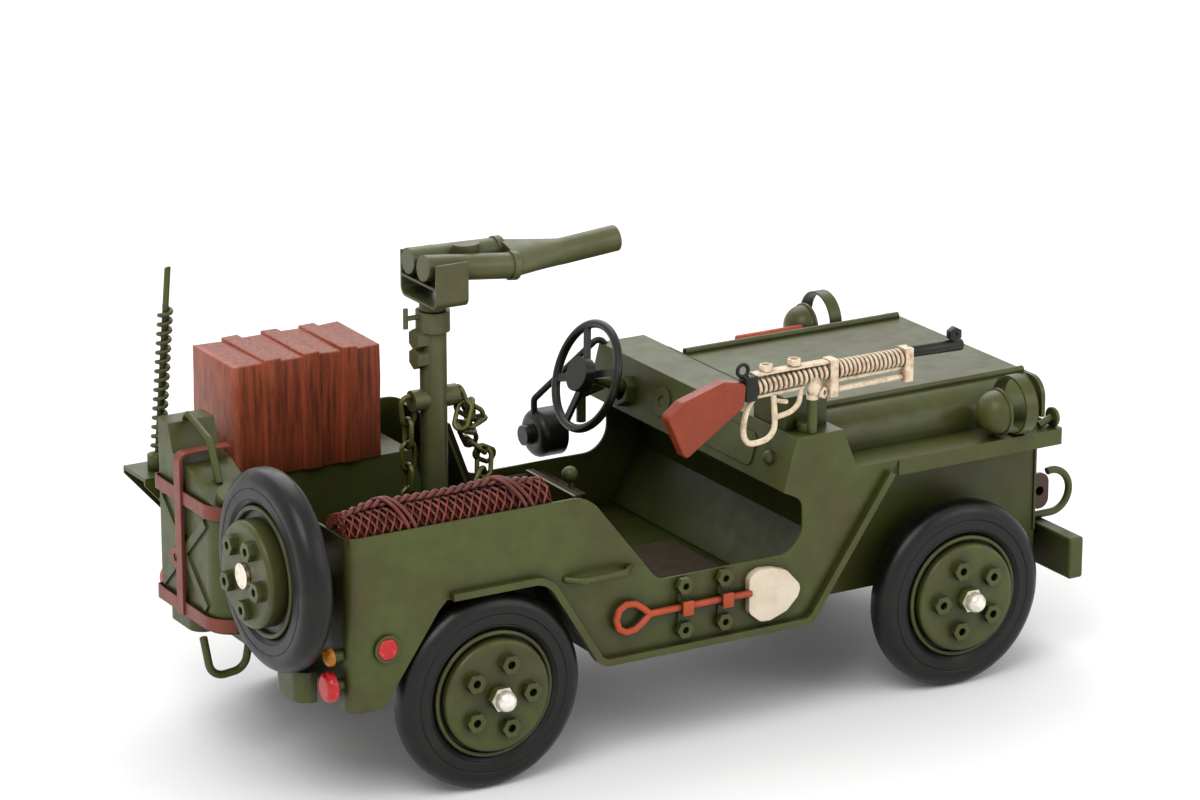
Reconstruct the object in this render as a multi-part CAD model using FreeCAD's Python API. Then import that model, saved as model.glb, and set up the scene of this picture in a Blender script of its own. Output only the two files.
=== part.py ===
import FreeCAD, Part
import math
import os

vec = FreeCAD.Vector

# All lengths are millimetres and all angles degrees.
# X runs forward, Y to the left, Z up. Places are measured from the middle between the axles,
# and the finished pieces are moved so that the origin lies under the middle of the whole model.

# Clearances
sheet = 0.8
slip = 0.15
fit = 0.05
overrun = 1.0
hairline = 0.00001

# Wheels
wheelbase = 172.0
track_inset = 6.8
wheel_radius = 31.0
tyre_width = 10.0
tyre_round = 4.4
tyre_wall = 10.95
rim_half_width = 4.4
rim_lip = 1.2
flange_face = 3.4
dish_inset = 2.15
dish_face = 7.4
dish_round = 1.5
hub_radius = 4.2
hub_inner_face = -2.2
stub_radius = 2.0
lug_inset = 7.2
lug_across = 5.5
lug_height = 2.4
lug_hole = 1.3
lug_count = 5
rear_lug_turn = 0.0
front_lug_turn = 36.0
spare_lug_turn = 47.0

# Axles and chassis
axle_radius = 2.4
axle_collar_radius = 3.5
axle_collar_width = 1.1
end_nut_across = 7.0
end_nut_height = 3.0
end_dome_radius = 3.3
end_dome_stand = 4.6
rail_inner = 22.0
rail_width = 4.0
rail_drop = 3.0
rail_rear_x = -104.0

# Body tub
tub_width = 120.4
rear_overhang = 48.2
tub_bottom = 33.0
tub_top = 87.8
tub_corner = 4.0
floor_top = 36.8
door_rear_top_x = -52.2
door_rear_top_round = 12.0
door_rear_foot_x = -27.6
door_rear_foot_round = 6.0
door_sill = 56.5
door_front_x = 25.4
door_front_round = 9.0
pillar_x = 25.0
pillar_z = 73.5
pillar_round = 5.0
dash_foot_x = 18.1
dash_foot_z = 76.8
dash_top_x = 22.7
cowl_top = 94.0
cowl_front_x = 39.9
cowl_foot_x = 45.3
side_front_x = 61.2
brace_top_x = 58.5
brace_top_z = 76.8
brace_foot_x = 31.0
brace_foot_z = 36.4
sill_front_x = 28.0
sill_bottom = 32.5
arch_gap = 1.4
arch_front_tilt = 31.5
arch_rear_tilt = 32.0
arch_notch = 2.8
strip_width = 2.2
strip_depth = 2.4
strip_rear_x = -100.0
strip_bend = 4.0
arch_bend = 8.0

# Wheel boxes in the load space
box_top = 79.0
box_width = 29.2
box_front_x = -64.0
box_foot_x = -50.0
toe_foot_x = 28.0
toe_bend_z = 55.0

# Engine bay, hood and fenders
hood_overhang = 39.5
hood_drop = 0.5
fender_width = 13.8
hood_round = 10.4
frame_sheet = 1.5
frame_stand = 0.8
frame_round = 6.5
rib_radius = 1.25
rib_start_x = 41.0
bay_inset = 1.4
bay_bottom = 33.6
slot_count = 8
slot_width = 3.2
slot_height = 30.0
slot_bottom = 50.0
slot_pitch = 8.0
fender_top = 80.7
fender_overhang = 39.0
fender_depth = 5.3
fender_round = 1.2

# Front bumper, winch and tow hooks
bumper_overhang = 43.3
bumper_depth = 5.6
bumper_bottom = 28.0
bumper_height = 14.0
bumper_length = 120.0
bumper_round = 1.0
hook_rod = 1.25
hook_y = 37.0
hook_reach = 2.9
hook_bend = 7.3
hook_tip_angle = 104.0
hook_foot_set_back = 4.3
winch_x = 130.4
winch_rise = 10.9
winch_flange_width = 7.2
winch_flange_height = 12.2
winch_core = 3.4
winch_flange = 1.2
winch_half_length = 41.0
winch_bore = 1.6
winch_bracket_y = 33.0
winch_bracket_width = 4.0

# Lamps
lamp_x = 101.3
lamp_inset = 3.6
lamp_rise = 8.3
lamp_radius = 7.1
lamp_rim_radius = 7.6
lamp_rim_width = 1.0
lamp_foot = 0.9
guard_reach_x = 4.6
guard_width = 4.45
guard_radius = 9.7
marker_set_back = 2.4
marker_rise = 3.1
marker_radius = 3.25
marker_head = 1.6
marker_round = 1.0
marker_stem = 1.2
marker_stem_length = 5.0
tail_inset = 5.3
orange_z = 50.5
orange_radius = 2.8
red_z = 41.2
red_radius = 4.7
lens_stem = 2.0
lens_gap = 3.3
orange_stand = 2.0
red_stand = 3.0
lens_round_share = 0.4
reflector_inset = 12.4
reflector_z = 51.9
reflector_radius = 3.3
reflector_stand = 1.6
bezel_width = 1.0

# Rear pieces
can_depth = 15.8
can_stand_off = 7.4
can_width = 42.0
can_bottom = 43.0
can_horn_rise = 10.3
can_horn_width = 8.1
can_recess_width = 3.2
can_recess_rise = 1.7
can_shoulder_width = 8.8
can_shoulder_z = 92.0
can_slope_drop = 10.0
can_left_round = 1.5
can_right_round = 8.0
rib_stand = 0.8
can_rib_width = 3.0
can_rib_drop = 4.5
can_rib_rise = 7.0
can_rib_inset_left = 3.1
can_rib_inset_right = 8.1
strap_width = 4.3
strap_upper_drop = 10.0
strap_lower_rise = 3.0
strap_y = 18.5
strap_ring_y = 21.0
strap_ring_z = 61.4
strap_ring_radius = 3.4
strap_ring_bore = 1.3
strap_sheet = 0.6
strap_stand = 1.7
can_cap_radius = 4.4
can_cap_height = 3.4
can_cap_inset_x = 6.5
can_cap_inset_y = 5.0
handle_rod = 1.2
handle_inset = 7.0
handle_rise = 2.1
handle_bend_width = 15.3
handle_bend_drop = 4.4
handle_foot_width = 5.7
handle_bend = 1.45
spare_stand = 13.0
spare_inset = 22.1
spare_z = 74.6
spare_boss = 5.0
spare_dish_inset = 3.65
spare_dish_face = 9.9
spare_lug_circle = 10.4
spare_end_reach = 11.3
spare_end_radius = 3.9
shelf_reach = 16.8
shelf_width = 16.0
shelf_inset = 0.3
shelf_top = 80.0
shelf_sheet = 1.2
gusset_depth = 20.0
antenna_inset_x = 7.7
antenna_inset_y = 8.4
antenna_lean = 5.7
antenna_height = 65.7
antenna_rod = 1.0
antenna_coil = 2.6
antenna_coil_height = 50.5
antenna_foot = 3.0
antenna_foot_height = 5.0
bumperette_reach = 9.7
bumperette_bottom = 33.4
bumperette_sheet = 1.0
bumperette_round = 5.0
bumperette_return = 5.9
bumperette_inset = 14.2
right_bumperette_length = 18.3
left_bumperette_length = 21.0
rear_hook_tip_reach = 19.0
rear_hook_tip_z = 42.0
rear_hook_low_reach = 16.6
rear_hook_low_z = 28.4
rear_hook_back_reach = 5.2
rear_hook_back_z = 29.6
rear_hook_neck_reach = 3.6
rear_hook_neck_z = 38.4
rear_hook_bend = 5.0
rear_hook_neck_bend = 1.5

# Load: crate and rolled net
crate_front_x = -76.0
crate_length = 49.7
crate_overhang = 1.4
crate_width = 29.6
crate_height = 37.0
crate_band = 5.6
crate_band_stand = 0.6
crate_round = 1.2
net_radius = 7.2
net_inset = 8.5
net_set_in = 3.2
net_length = 67.0
rope_radius = 1.3
rope_loop = 0.9

# Post, chains and swivel ornament
post_x = -72.5
post_radius = 4.25
post_top = 134.4
pin_radius = 2.0
pin_depth = 6.0
collar_radius = 5.4
collar_height = 6.5
post_nut_across = 6.0
post_nut_stand = 2.6
post_nut_drop = 8.6
post_nut_pitch = 6.2
clamp_reach = 9.5
clamp_rod = 0.8
clamp_bar = 3.2
clamp_drop = 1.6
boss_z = 106.0
boss_radius = 3.4
boss_stand = 3.6
link_length = 10.6
link_width = 6.0
link_wire = 1.6
left_chain_count = 8
cradle_set_back = 4.9
cradle_length = 11.2
cradle_half_width = 11.7
cradle_rise = 2.8
cradle_height = 14.4
cradle_round = 3.0
cradle_shelf_rise = 6.2
tube_radius = 4.1
tube_half_gap = 4.95
tube_overhang = 1.0
tube_rise = 12.4
tube_collar_reach = 32.4
near_collar_drop = 3.6
far_collar_drop = 1.0
tube_collar_radius = 4.6
tube_collar_width = 2.4
cone_reach = 19.0
cone_half_width = 9.6
cone_half_height = 4.4
barrel_radius = 4.2
barrel_wall = 1.0
barrel_reach = 19.8
barrel_root_drop = 3.0
barrel_end_rise = 1.6
barrel_blind = 14.0
oval_reach = 17.9
oval_length = 8.6
oval_width = 6.4
oval_sheet = 1.4

# Seats, lever and steering
seat_inset = 19.2
seat_width = 29.0
seat_rear_x = -42.0
seat_front_x = -2.0
seat_top = 55.0
seat_pad = 2.4
seat_back_x = -54.0
seat_back_top = 87.0
seat_back_sheet = 1.0
seat_back_pad = 1.6
lever_x = -20.0
lever_lean = 3.7
lever_knob_z = 72.9
lever_knob = 2.6
lever_rod = 0.9
steer_x = 4.2
steer_inset = 23.3
steer_z = 91.3
steer_radius = 17.4
steer_rim = 1.45
steer_tilt = 20.0
steer_hub_radius = 5.7
steer_hub_base = 0.5
steer_hub_height = 3.8
steer_spoke_width = 2.6
steer_spoke_sheet = 1.2
column_radius = 2.2
column_start = 3.2
column_stub = 1.2
column_stub_length = 5.0
column_leg = 1.6
column_sleeve = 6.0
column_leg_x = 5.6
column_leg_stand = 6.1
column_leg_drop = 6.3
column_leg_length = 11.0

# Dash fittings
dash_nut_z = 83.6
dash_nut_across = 9.0
dash_nut_bore = 3.2
dash_disc_bore = 2.0
dash_nut_stand = 3.4
dash_disc_y = 15.9
dash_disc_z = 85.5
dash_disc_radius = 4.6
dash_disc_stand = 0.7
glove_left_y = -9.5
glove_right_y = -39.8
glove_top_z = 90.0
glove_bottom_z = 79.4
glove_line = 0.5
glove_round = 2.5
dash_knob_inset = 11.7
dash_knob_z = 84.9
dash_knob_radius = 2.4

# Rifle ornament and box on the cowl
rifle_inset = 2.2
stock_length = 28.3
stock_drop = 20.0
stock_half_width = 2.4
stock_round = 1.6
stock_edge = 0.7
rifle_rear_x = 4.0
rifle_rear_rise = 17.0
receiver_length = 62.0
rifle_front_rise = 18.6
rifle_core = 2.7
rifle_barrel_radius = 1.6
barrel_stand = 20.0
rifle_end_rise = 20.6
band_width = 3.4
band_drop = 8.6
band_stand = 0.8
band_half_width = 2.0
band_rear_x = 34.6
under_rod = 0.9
guard_rod = 1.0
guard_reach = 21.3
guard_drop = 17.6
guard_bend = 1.6
sight_radius = 2.2
sight_bore = 0.9
sight_lift = 3.4
sight_sheet = 2.5
foot_x = 29.6
foot_radius = 1.6
foot_base_radius = 3.2
foot_base_height = 3.0
cowl_box_rear_x = 23.4
cowl_box_length = 15.6
cowl_box_inset = 26.2
cowl_box_width = 18.0
cowl_box_height = 10.6

# Shovel, handles, haft and spotlight
shovel_stand = 2.1
shovel_rod = 1.1
ring_set_forward = 48.3
ring_z = 46.9
ring_length = 12.0
ring_height = 9.0
shovel_rod_end_x = 5.0
blade_rear_x = 4.2
blade_length = 19.0
blade_bottom_z = 36.8
blade_height = 17.4
blade_sheet = 1.0
blade_round = 3.0
clip_rear_x = -19.0
clip_front_x = -4.5
clip_rise = 6.7
clip_drop = 7.6
clip_width = 3.4
clip_nut_across = 5.0
clip_nut_height = 2.0
clip_nut_bore = 1.1
grab_rear_x = -60.6
grab_front_x = -37.3
grab_z = 62.6
grab_stand = 4.2
grab_rod = 1.1
grab_bend = 1.65
haft_rear_x = 70.0
haft_length = 26.0
haft_inset = 10.2
haft_rise = 10.9
haft_rod = 1.3
haft_post = 0.9
haft_post_inset = 4.0
spot_x = 4.2
spot_stand = 6.2
spot_z = 64.0
spot_radius = 8.2
spot_depth = 9.0
spot_rim = 1.2
spot_knob = 3.4
spot_knob_height = 3.0
spot_rod = 1.1
spot_arm_x = 1.2
spot_arm_z = 76.0
spot_foot_x = 23.8
spot_foot_inset = 1.7
spot_foot_height = 4.0
spot_round_share = 0.4

# Tables of angles, and of shares of the sizes above
end_round_share = 0.96
crate_band_shares = (0.195, 0.471, 0.738)
lashing_shares = (0.22, 0.78)
under_rod_shares = (0.5, 0.85)
right_chain_headings = [(0.5, 0, -1), (0.6, 0.1, -1), (0.8, 0.2, -1), (0.9, 0.3, -1), (1, 0.3, -1)]
steer_spoke_turns = [29.0, 107.0, 167.0, 289.0]
stock_shares = [(0.0, 0.17), (0.28, 0.26), (0.81, 0.04), (1.0, -0.17), (0.77, -0.885), (0.02, -0.19)]
guard_shares = [(0.11, 0.05), (-0.02, 0.75), (0.44, 1.0), (0.56, 0.61), (0.9, 0.44), (1.0, 0.1)]
ring_shares = [(1.0, 0.0), (0.55, 0.27), (0.12, 0.46), (-0.42, 0.5), (-0.83, 0.34), (-1.0, 0.0)]
blade_shares = [
    (0.0, 0.9), (0.21, 1.0), (0.46, 0.98), (0.72, 0.89), (1.0, 0.55),
    (0.95, 0.36), (0.73, 0.12), (0.41, 0.0), (0.22, 0.01), (0.0, 0.21),
]

# Sizes that follow from the ones above
tub_half = tub_width / 2
wheel_track = tub_width - track_inset
tub_inside = tub_half - sheet
floor_bottom = floor_top - sheet
axle_z = wheel_radius
wheel_y = wheel_track / 2
front_axle_x = wheelbase / 2
rear_axle_x = -wheelbase / 2
tub_rear_x = rear_axle_x - rear_overhang
hood_front_x = front_axle_x + hood_overhang
fender_front_x = front_axle_x + fender_overhang
bumper_rear_x = front_axle_x + bumper_overhang
ring_x = rear_axle_x + ring_set_forward
rail_bottom = axle_z - rail_drop
rim_radius = wheel_radius - tyre_wall
dish_radius = rim_radius - dish_inset
spare_dish_radius = rim_radius - spare_dish_inset
lug_circle = dish_radius - lug_inset
arch_radius = wheel_radius + arch_gap
arch_top = axle_z + arch_radius
toe_x = cowl_front_x - sheet
sill_bend = strip_bend + strip_width
bumper_front_x = bumper_rear_x + bumper_depth
bumper_top = bumper_bottom + bumper_height
hood_half_width = tub_half - fender_width
frame_half_width = hood_half_width + frame_stand
bay_half_width = hood_half_width - bay_inset
lamp_y = tub_half - lamp_inset
tail_y = tub_half - tail_inset
box_inner = tub_half - box_width
crate_inner_y = box_inner - crate_overhang
net_y = net_inset - tub_half
seat_y = tub_half - seat_inset
steer_y = tub_half - steer_inset
column_leg_y = steer_y + column_leg_stand
dash_knob_y = dash_knob_inset - tub_half
rifle_y = rifle_inset - tub_half
cowl_box_inner_y = cowl_box_inset - tub_half
shovel_y = tub_half + shovel_stand
haft_y = tub_half - haft_inset
spot_y = tub_half + spot_stand
spot_foot_y = tub_half - spot_foot_inset
shelf_outer_y = tub_half - shelf_inset
shelf_inner_y = shelf_outer_y - shelf_width
antenna_y = shelf_outer_y - antenna_inset_y
shelf_rear_x = tub_rear_x - shelf_reach
antenna_x = shelf_rear_x + antenna_inset_x
antenna_top_x = antenna_x + antenna_lean
antenna_top = shelf_top + antenna_height
antenna_coil_top = shelf_top + antenna_coil_height
rear_plane_x = tub_rear_x - can_depth
can_left_y = shelf_inner_y - can_stand_off
can_right_y = can_left_y - can_width
spare_y = spare_inset - tub_half
can_horn_y = can_left_y - can_horn_width
can_recess_y = can_horn_y - can_recess_width
can_shoulder_y = can_recess_y - can_shoulder_width
can_horn_top = can_shoulder_z + can_horn_rise
can_recess_z = can_shoulder_z + can_recess_rise
can_slope_foot_z = can_shoulder_z - can_slope_drop
can_rib_top = can_slope_foot_z - can_rib_drop
can_rib_bottom = can_bottom + can_rib_rise
can_rib_left = can_left_y - can_rib_inset_left
can_rib_right = can_right_y + can_rib_inset_right
strap_upper_z = can_shoulder_z - strap_upper_drop
strap_lower_z = can_bottom + strap_lower_rise
can_cap_x = rear_plane_x + can_cap_inset_x
can_cap_y = can_right_y + can_cap_inset_y
handle_x = rear_plane_x + handle_inset
handle_high_z = can_horn_top + handle_rise
handle_bend_y = can_horn_y - handle_bend_width
handle_bend_z = handle_high_z - handle_bend_drop
handle_foot_y = handle_bend_y - handle_foot_width
spare_x = tub_rear_x - spare_stand
spare_end_x = spare_x - spare_end_reach
bumperette_x = tub_rear_x - bumperette_reach
bumperette_end_x = bumperette_x + bumperette_return
right_bumperette_end = bumperette_inset - tub_half
right_bumperette_start = right_bumperette_end + right_bumperette_length
left_bumperette_start = tub_half - bumperette_inset
left_bumperette_end = left_bumperette_start - left_bumperette_length
rear_hook_tip_x = tub_rear_x - rear_hook_tip_reach
rear_hook_low_x = tub_rear_x - rear_hook_low_reach
rear_hook_back_x = tub_rear_x - rear_hook_back_reach
rear_hook_neck_x = tub_rear_x - rear_hook_neck_reach
reflector_x = tub_rear_x + reflector_inset
cradle_bottom = post_top + cradle_rise
cradle_shelf_z = cradle_bottom + cradle_shelf_rise
cradle_x = post_x - cradle_set_back
tube_rear_z = cradle_bottom + tube_rise
tube_rear_x = cradle_x - tube_overhang
tube_collar_x = tube_rear_x + tube_collar_reach
near_collar_z = tube_rear_z - near_collar_drop
far_collar_z = tube_rear_z - far_collar_drop
cone_front_x = tube_collar_x + cone_reach
oval_x = tube_rear_x + oval_reach
barrel_end_x = cone_front_x + barrel_reach
barrel_root_z = tube_rear_z - barrel_root_drop
barrel_end_z = barrel_root_z + barrel_end_rise
clamp_z = post_top - clamp_drop
post_nut_upper = post_top - post_nut_drop
post_nut_lower = post_nut_upper - post_nut_pitch
net_rear_x = tub_rear_x + net_set_in
net_front_x = net_rear_x + net_length
lamp_z = fender_top + lamp_rise
guard_x = lamp_x + guard_reach_x
marker_x = fender_front_x - marker_set_back
marker_z = fender_top + marker_rise
hood_top = cowl_top - hood_drop
haft_z = fender_top + haft_rise
haft_front_x = haft_rear_x + haft_length
rifle_rear_z = cowl_top + rifle_rear_rise
rifle_front_z = cowl_top + rifle_front_rise
rifle_end_z = cowl_top + rifle_end_rise
rifle_front_x = rifle_rear_x + receiver_length
rifle_end_x = rifle_front_x + barrel_stand
winch_z = bumper_top + winch_rise
column_leg_top = steer_z - column_leg_drop
column_leg_low = column_leg_top - column_leg_length
lever_knob_x = lever_x - lever_lean
clip_upper_z = ring_z + clip_rise
clip_lower_z = ring_z - clip_drop
hook_centre_x = bumper_front_x + hook_reach
hook_foot_x = bumper_front_x - hook_foot_set_back
front_reach = hook_centre_x + hook_bend + hook_rod
rear_reach = spare_x - spare_dish_face - lug_height
model_shift = -(front_reach + rear_reach) / 2
hub_bore = stub_radius + fit
steer_axis = vec(-math.cos(math.radians(steer_tilt)), 0, math.sin(math.radians(steer_tilt)))


def corner(before, point, after, radius):
    to_before = (before - point).normalize()
    to_after = (after - point).normalize()
    half = to_before.getAngle(to_after) / 2
    inward = (to_before + to_after).normalize()
    reach = radius / math.tan(half)
    inset = radius / math.sin(half) - radius
    return point + to_before * reach, point + inward * inset, point + to_after * reach


# Straight runs whose corners are rounded by tangent arcs
def run_edges(points, radii, closed):
    count = len(points)
    corners = []
    for index, point in enumerate(points):
        turns = closed or 0 < index < count - 1
        if turns and radii[index] > 0:
            corners.append(corner(points[index - 1], point, points[(index + 1) % count], radii[index]))
        else:
            corners.append((point, point, point))
    edges = []
    for index, (start, middle, end) in enumerate(corners):
        if (end - start).Length > hairline:
            edges.append(Part.Arc(start, middle, end).toShape())
        following = corners[(index + 1) % count][0]
        if (closed or index < count - 1) and (following - end).Length > hairline:
            edges.append(Part.makeLine(end, following))
    return edges


def outline_face(points, radii):
    return Part.Face(Part.Wire(run_edges(points, radii, True)))


def corner_radii(outline):
    return [place[2] if len(place) > 2 else 0 for place in outline]


# A plate from an outline of (x, z) or (x, z, corner radius)
def plate_xz(outline, y_start, y_end):
    face = outline_face([vec(place[0], y_start, place[1]) for place in outline], corner_radii(outline))
    return face.extrude(vec(0, y_end - y_start, 0))


def plate_yz(outline, x_start, x_end):
    face = outline_face([vec(x_start, place[0], place[1]) for place in outline], corner_radii(outline))
    return face.extrude(vec(x_end - x_start, 0, 0))


def plate_xy(outline, z_start, z_end):
    face = outline_face([vec(place[0], place[1], z_start) for place in outline], corner_radii(outline))
    return face.extrude(vec(0, 0, z_end - z_start))


def block(x_start, x_end, y_start, y_end, z_start, z_end):
    return Part.makeBox(x_end - x_start, y_end - y_start, z_end - z_start, vec(x_start, y_start, z_start))


def bar(start, end, radius):
    return Part.makeCylinder(radius, (end - start).Length, start, end - start)


# A round rod along straight runs joined by tangent arcs
def rod(points, radius, bend):
    radii = [bend for point in points]
    path = Part.Wire(run_edges(points, radii, False))
    section = Part.Wire([Part.makeCircle(radius, points[0], points[1] - points[0])])
    return path.makePipeShell([section], True, False)


def joined(pieces):
    whole = pieces[0]
    for piece in pieces[1:]:
        whole = whole.fuse(piece)
    return whole.removeSplitter()


def mirrored(shape):
    return shape.mirror(vec(0, 0, 0), vec(0, 1, 0))


def both_sides(shape):
    return [shape, mirrored(shape)]


# Turns a piece that was made along +Z to lie along another axis
def placed(shape, base, axis):
    moved = shape.copy()
    turn = FreeCAD.Placement(base, FreeCAD.Rotation(vec(0, 0, 1), axis))
    moved.Placement = turn.multiply(moved.Placement)
    return moved


def hex_prism(across, height, turn):
    radius = across / 2 / math.cos(math.pi / 6)
    points = []
    for index in range(6):
        angle = math.radians(turn + 60 * index)
        points.append(vec(radius * math.cos(angle), radius * math.sin(angle), 0))
    return outline_face(points, [0] * 6).extrude(vec(0, 0, height))


def nut(across, height, bore, turn=0):
    return hex_prism(across, height, turn).cut(Part.makeCylinder(bore, height + overrun, vec(0, 0, 0)))


def revolved(profile):
    points = [vec(place[0], place[1], 0) for place in profile]
    return outline_face(points, corner_radii(profile)).revolve(vec(0, 0, 0), vec(0, 1, 0), 360)


# The arch and door outline of the body side, seen from the right
def arch_corner(tilt, side):
    reach = (arch_radius - arch_radius * math.sin(math.radians(tilt))) / math.cos(math.radians(tilt))
    return rear_axle_x + side * reach


def arch_foot(tilt, side, height):
    drop = (height - axle_z) * math.sin(math.radians(tilt))
    return rear_axle_x + side * (arch_radius - drop) / math.cos(math.radians(tilt))


def side_outline():
    arch_front = arch_corner(arch_front_tilt, 1)
    arch_rear = arch_corner(arch_rear_tilt, -1)
    return [
        (tub_rear_x, tub_bottom),
        (tub_rear_x, tub_top),
        (door_rear_top_x, tub_top, door_rear_top_round),
        (door_rear_foot_x, door_sill, door_rear_foot_round),
        (door_front_x, door_sill, door_front_round),
        (pillar_x, pillar_z, pillar_round),
        (dash_foot_x, dash_foot_z),
        (dash_top_x, cowl_top),
        (cowl_front_x, cowl_top),
        (cowl_foot_x, fender_top),
        (side_front_x, fender_top),
        (brace_top_x, brace_top_z),
        (brace_foot_x, brace_foot_z),
        (sill_front_x, sill_bottom, sill_bend),
        (arch_foot(arch_front_tilt, 1, sill_bottom), sill_bottom, sill_bend),
        (arch_front, arch_top, arch_bend),
        (arch_rear + arch_notch, arch_top),
        (arch_rear, arch_top - arch_notch),
        (arch_foot(arch_rear_tilt, -1, tub_bottom), tub_bottom),
    ]


def tub_shell():
    outer = [
        (side_front_x, tub_half),
        (tub_rear_x, tub_half, tub_corner),
        (tub_rear_x, -tub_half, tub_corner),
        (side_front_x, -tub_half),
    ]
    inner = [
        (side_front_x + overrun, tub_inside),
        (tub_rear_x + sheet, tub_inside, tub_corner - sheet),
        (tub_rear_x + sheet, -tub_inside, tub_corner - sheet),
        (side_front_x + overrun, -tub_inside),
    ]
    low = sill_bottom - overrun
    high = cowl_top + overrun
    skin = plate_xy(outer, low, high).cut(plate_xy(inner, low - overrun, high + overrun))
    return skin.common(plate_xz(side_outline(), -tub_half - overrun, tub_half + overrun))


def side_strip():
    arch_front = arch_corner(arch_front_tilt, 1)
    inner = [
        (strip_rear_x, arch_top),
        (arch_front, arch_top, arch_bend),
        (arch_foot(arch_front_tilt, 1, sill_bottom), sill_bottom, sill_bend),
        (sill_front_x, sill_bottom, sill_bend),
        (brace_top_x, brace_top_z),
    ]
    lean = strip_width * math.tan(math.radians(90 - arch_front_tilt) / 2)
    slope = math.atan2(brace_top_z - sill_bottom, brace_top_x - sill_front_x)
    turn = strip_width * math.tan(slope / 2)
    rise = vec(-math.sin(slope), 0, math.cos(slope)) * strip_width
    outer = [
        (brace_top_x + rise.x, brace_top_z + rise.z),
        (sill_front_x - turn, sill_bottom + strip_width, strip_bend),
        (arch_foot(arch_front_tilt, 1, sill_bottom) + lean, sill_bottom + strip_width, strip_bend),
        (arch_front + lean, arch_top + strip_width, arch_bend + strip_width),
        (strip_rear_x, arch_top + strip_width),
    ]
    return plate_xz(inner + outer, -tub_half - strip_depth, -tub_half)


def floor_pan():
    foot_inside = box_inner + sheet
    outline = [
        (toe_foot_x, tub_inside),
        (box_foot_x, tub_inside),
        (box_foot_x, foot_inside),
        (tub_rear_x + sheet, foot_inside),
        (tub_rear_x + sheet, -foot_inside),
        (box_foot_x, -foot_inside),
        (box_foot_x, -tub_inside),
        (toe_foot_x, -tub_inside),
    ]
    return plate_xy(outline, floor_bottom, floor_top)


def wheel_box():
    rear_x = tub_rear_x + sheet
    lean = math.atan2(box_top - floor_top, box_foot_x - box_front_x)
    inset = sheet / math.sin(lean)
    outer = [
        (rear_x, floor_top),
        (rear_x, box_top),
        (box_front_x, box_top),
        (box_foot_x, floor_top),
    ]
    inner = [
        (rear_x - overrun, floor_top - overrun),
        (rear_x - overrun, box_top - sheet),
        (box_front_x - inset, box_top - sheet),
        (box_foot_x - inset + overrun / math.tan(lean), floor_top - overrun),
    ]
    room = [
        (box_foot_x, -box_inner),
        (rear_x, -box_inner),
        (rear_x, -tub_inside, tub_corner - sheet),
        (box_foot_x, -tub_inside),
    ]
    shell = plate_xz(outer, -tub_inside, -box_inner).common(plate_xy(room, floor_top, box_top))
    return shell.cut(plate_xz(inner, -tub_inside - overrun, -box_inner - sheet))


def toe_board():
    outline = [
        (toe_foot_x, floor_bottom),
        (toe_x + sheet, toe_bend_z),
        (toe_x + sheet, cowl_top - sheet),
        (toe_x, cowl_top - sheet),
        (toe_x, toe_bend_z + sheet),
        (toe_foot_x, floor_top + sheet),
    ]
    return plate_xz(outline, -tub_inside, tub_inside)


def hood_outline(inset, foot):
    return arched_outline(hood_half_width - inset, hood_top - inset, hood_round - inset, foot)


def arched_outline(half, top, bend, foot):
    return [
        (-half, foot),
        (-half, top, bend),
        (half, top, bend),
        (half, foot),
    ]


def cowl():
    outer = [
        (dash_foot_x, dash_foot_z),
        (dash_top_x, cowl_top),
        (cowl_front_x, cowl_top),
        (cowl_foot_x, fender_top),
    ]
    inner = [
        (dash_foot_x + sheet, dash_foot_z - overrun),
        (dash_top_x + sheet, cowl_top - sheet),
        (cowl_front_x - sheet, cowl_top - sheet),
        (cowl_foot_x - sheet, fender_top - overrun),
    ]
    shell = plate_xz(outer, -tub_inside, tub_inside)
    shell = shell.cut(plate_xz(inner, -tub_inside - overrun, tub_inside + overrun))
    return shell.cut(plate_yz(hood_outline(0, fender_top), cowl_front_x, hood_front_x))


def hood():
    foot = fender_top
    outer = plate_yz(hood_outline(0, foot), cowl_front_x, hood_front_x)
    inner = plate_yz(hood_outline(sheet, foot - overrun), cowl_front_x - overrun, hood_front_x + overrun)
    pieces = [outer.cut(inner)]
    rib_y = hood_half_width - hood_round
    for side in (-1, 1):
        rib_z = hood_top + rib_radius / 2
        start = vec(rib_start_x, side * rib_y, rib_z)
        pieces.append(bar(start, vec(hood_front_x, side * rib_y, rib_z), rib_radius))
    return joined(pieces)


def engine_bay():
    side = block(cowl_front_x, hood_front_x, -bay_half_width, sheet - bay_half_width, bay_bottom, fender_top)
    grille = plate_yz(hood_outline(sheet, rail_bottom + bumper_height), hood_front_x - sheet, hood_front_x)
    foot = block(hood_front_x - sheet, hood_front_x, -bay_half_width, bay_half_width, floor_top, fender_top)
    frame = arched_outline(frame_half_width, hood_top, frame_round, fender_top)
    grille = grille.fuse(foot).fuse(plate_yz(frame, hood_front_x, hood_front_x + frame_sheet))
    for index in range(slot_count):
        slot_y = (index - (slot_count - 1) / 2) * slot_pitch
        bend = slot_width / 2 * end_round_share
        cutter = [
            (slot_y - slot_width / 2, slot_bottom, bend),
            (slot_y + slot_width / 2, slot_bottom, bend),
            (slot_y + slot_width / 2, slot_bottom + slot_height, bend),
            (slot_y - slot_width / 2, slot_bottom + slot_height, bend),
        ]
        slot_front = hood_front_x + frame_sheet + overrun
        grille = grille.cut(plate_yz(cutter, hood_front_x - sheet - overrun, slot_front))
    return joined([grille, side, mirrored(side)])


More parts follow.
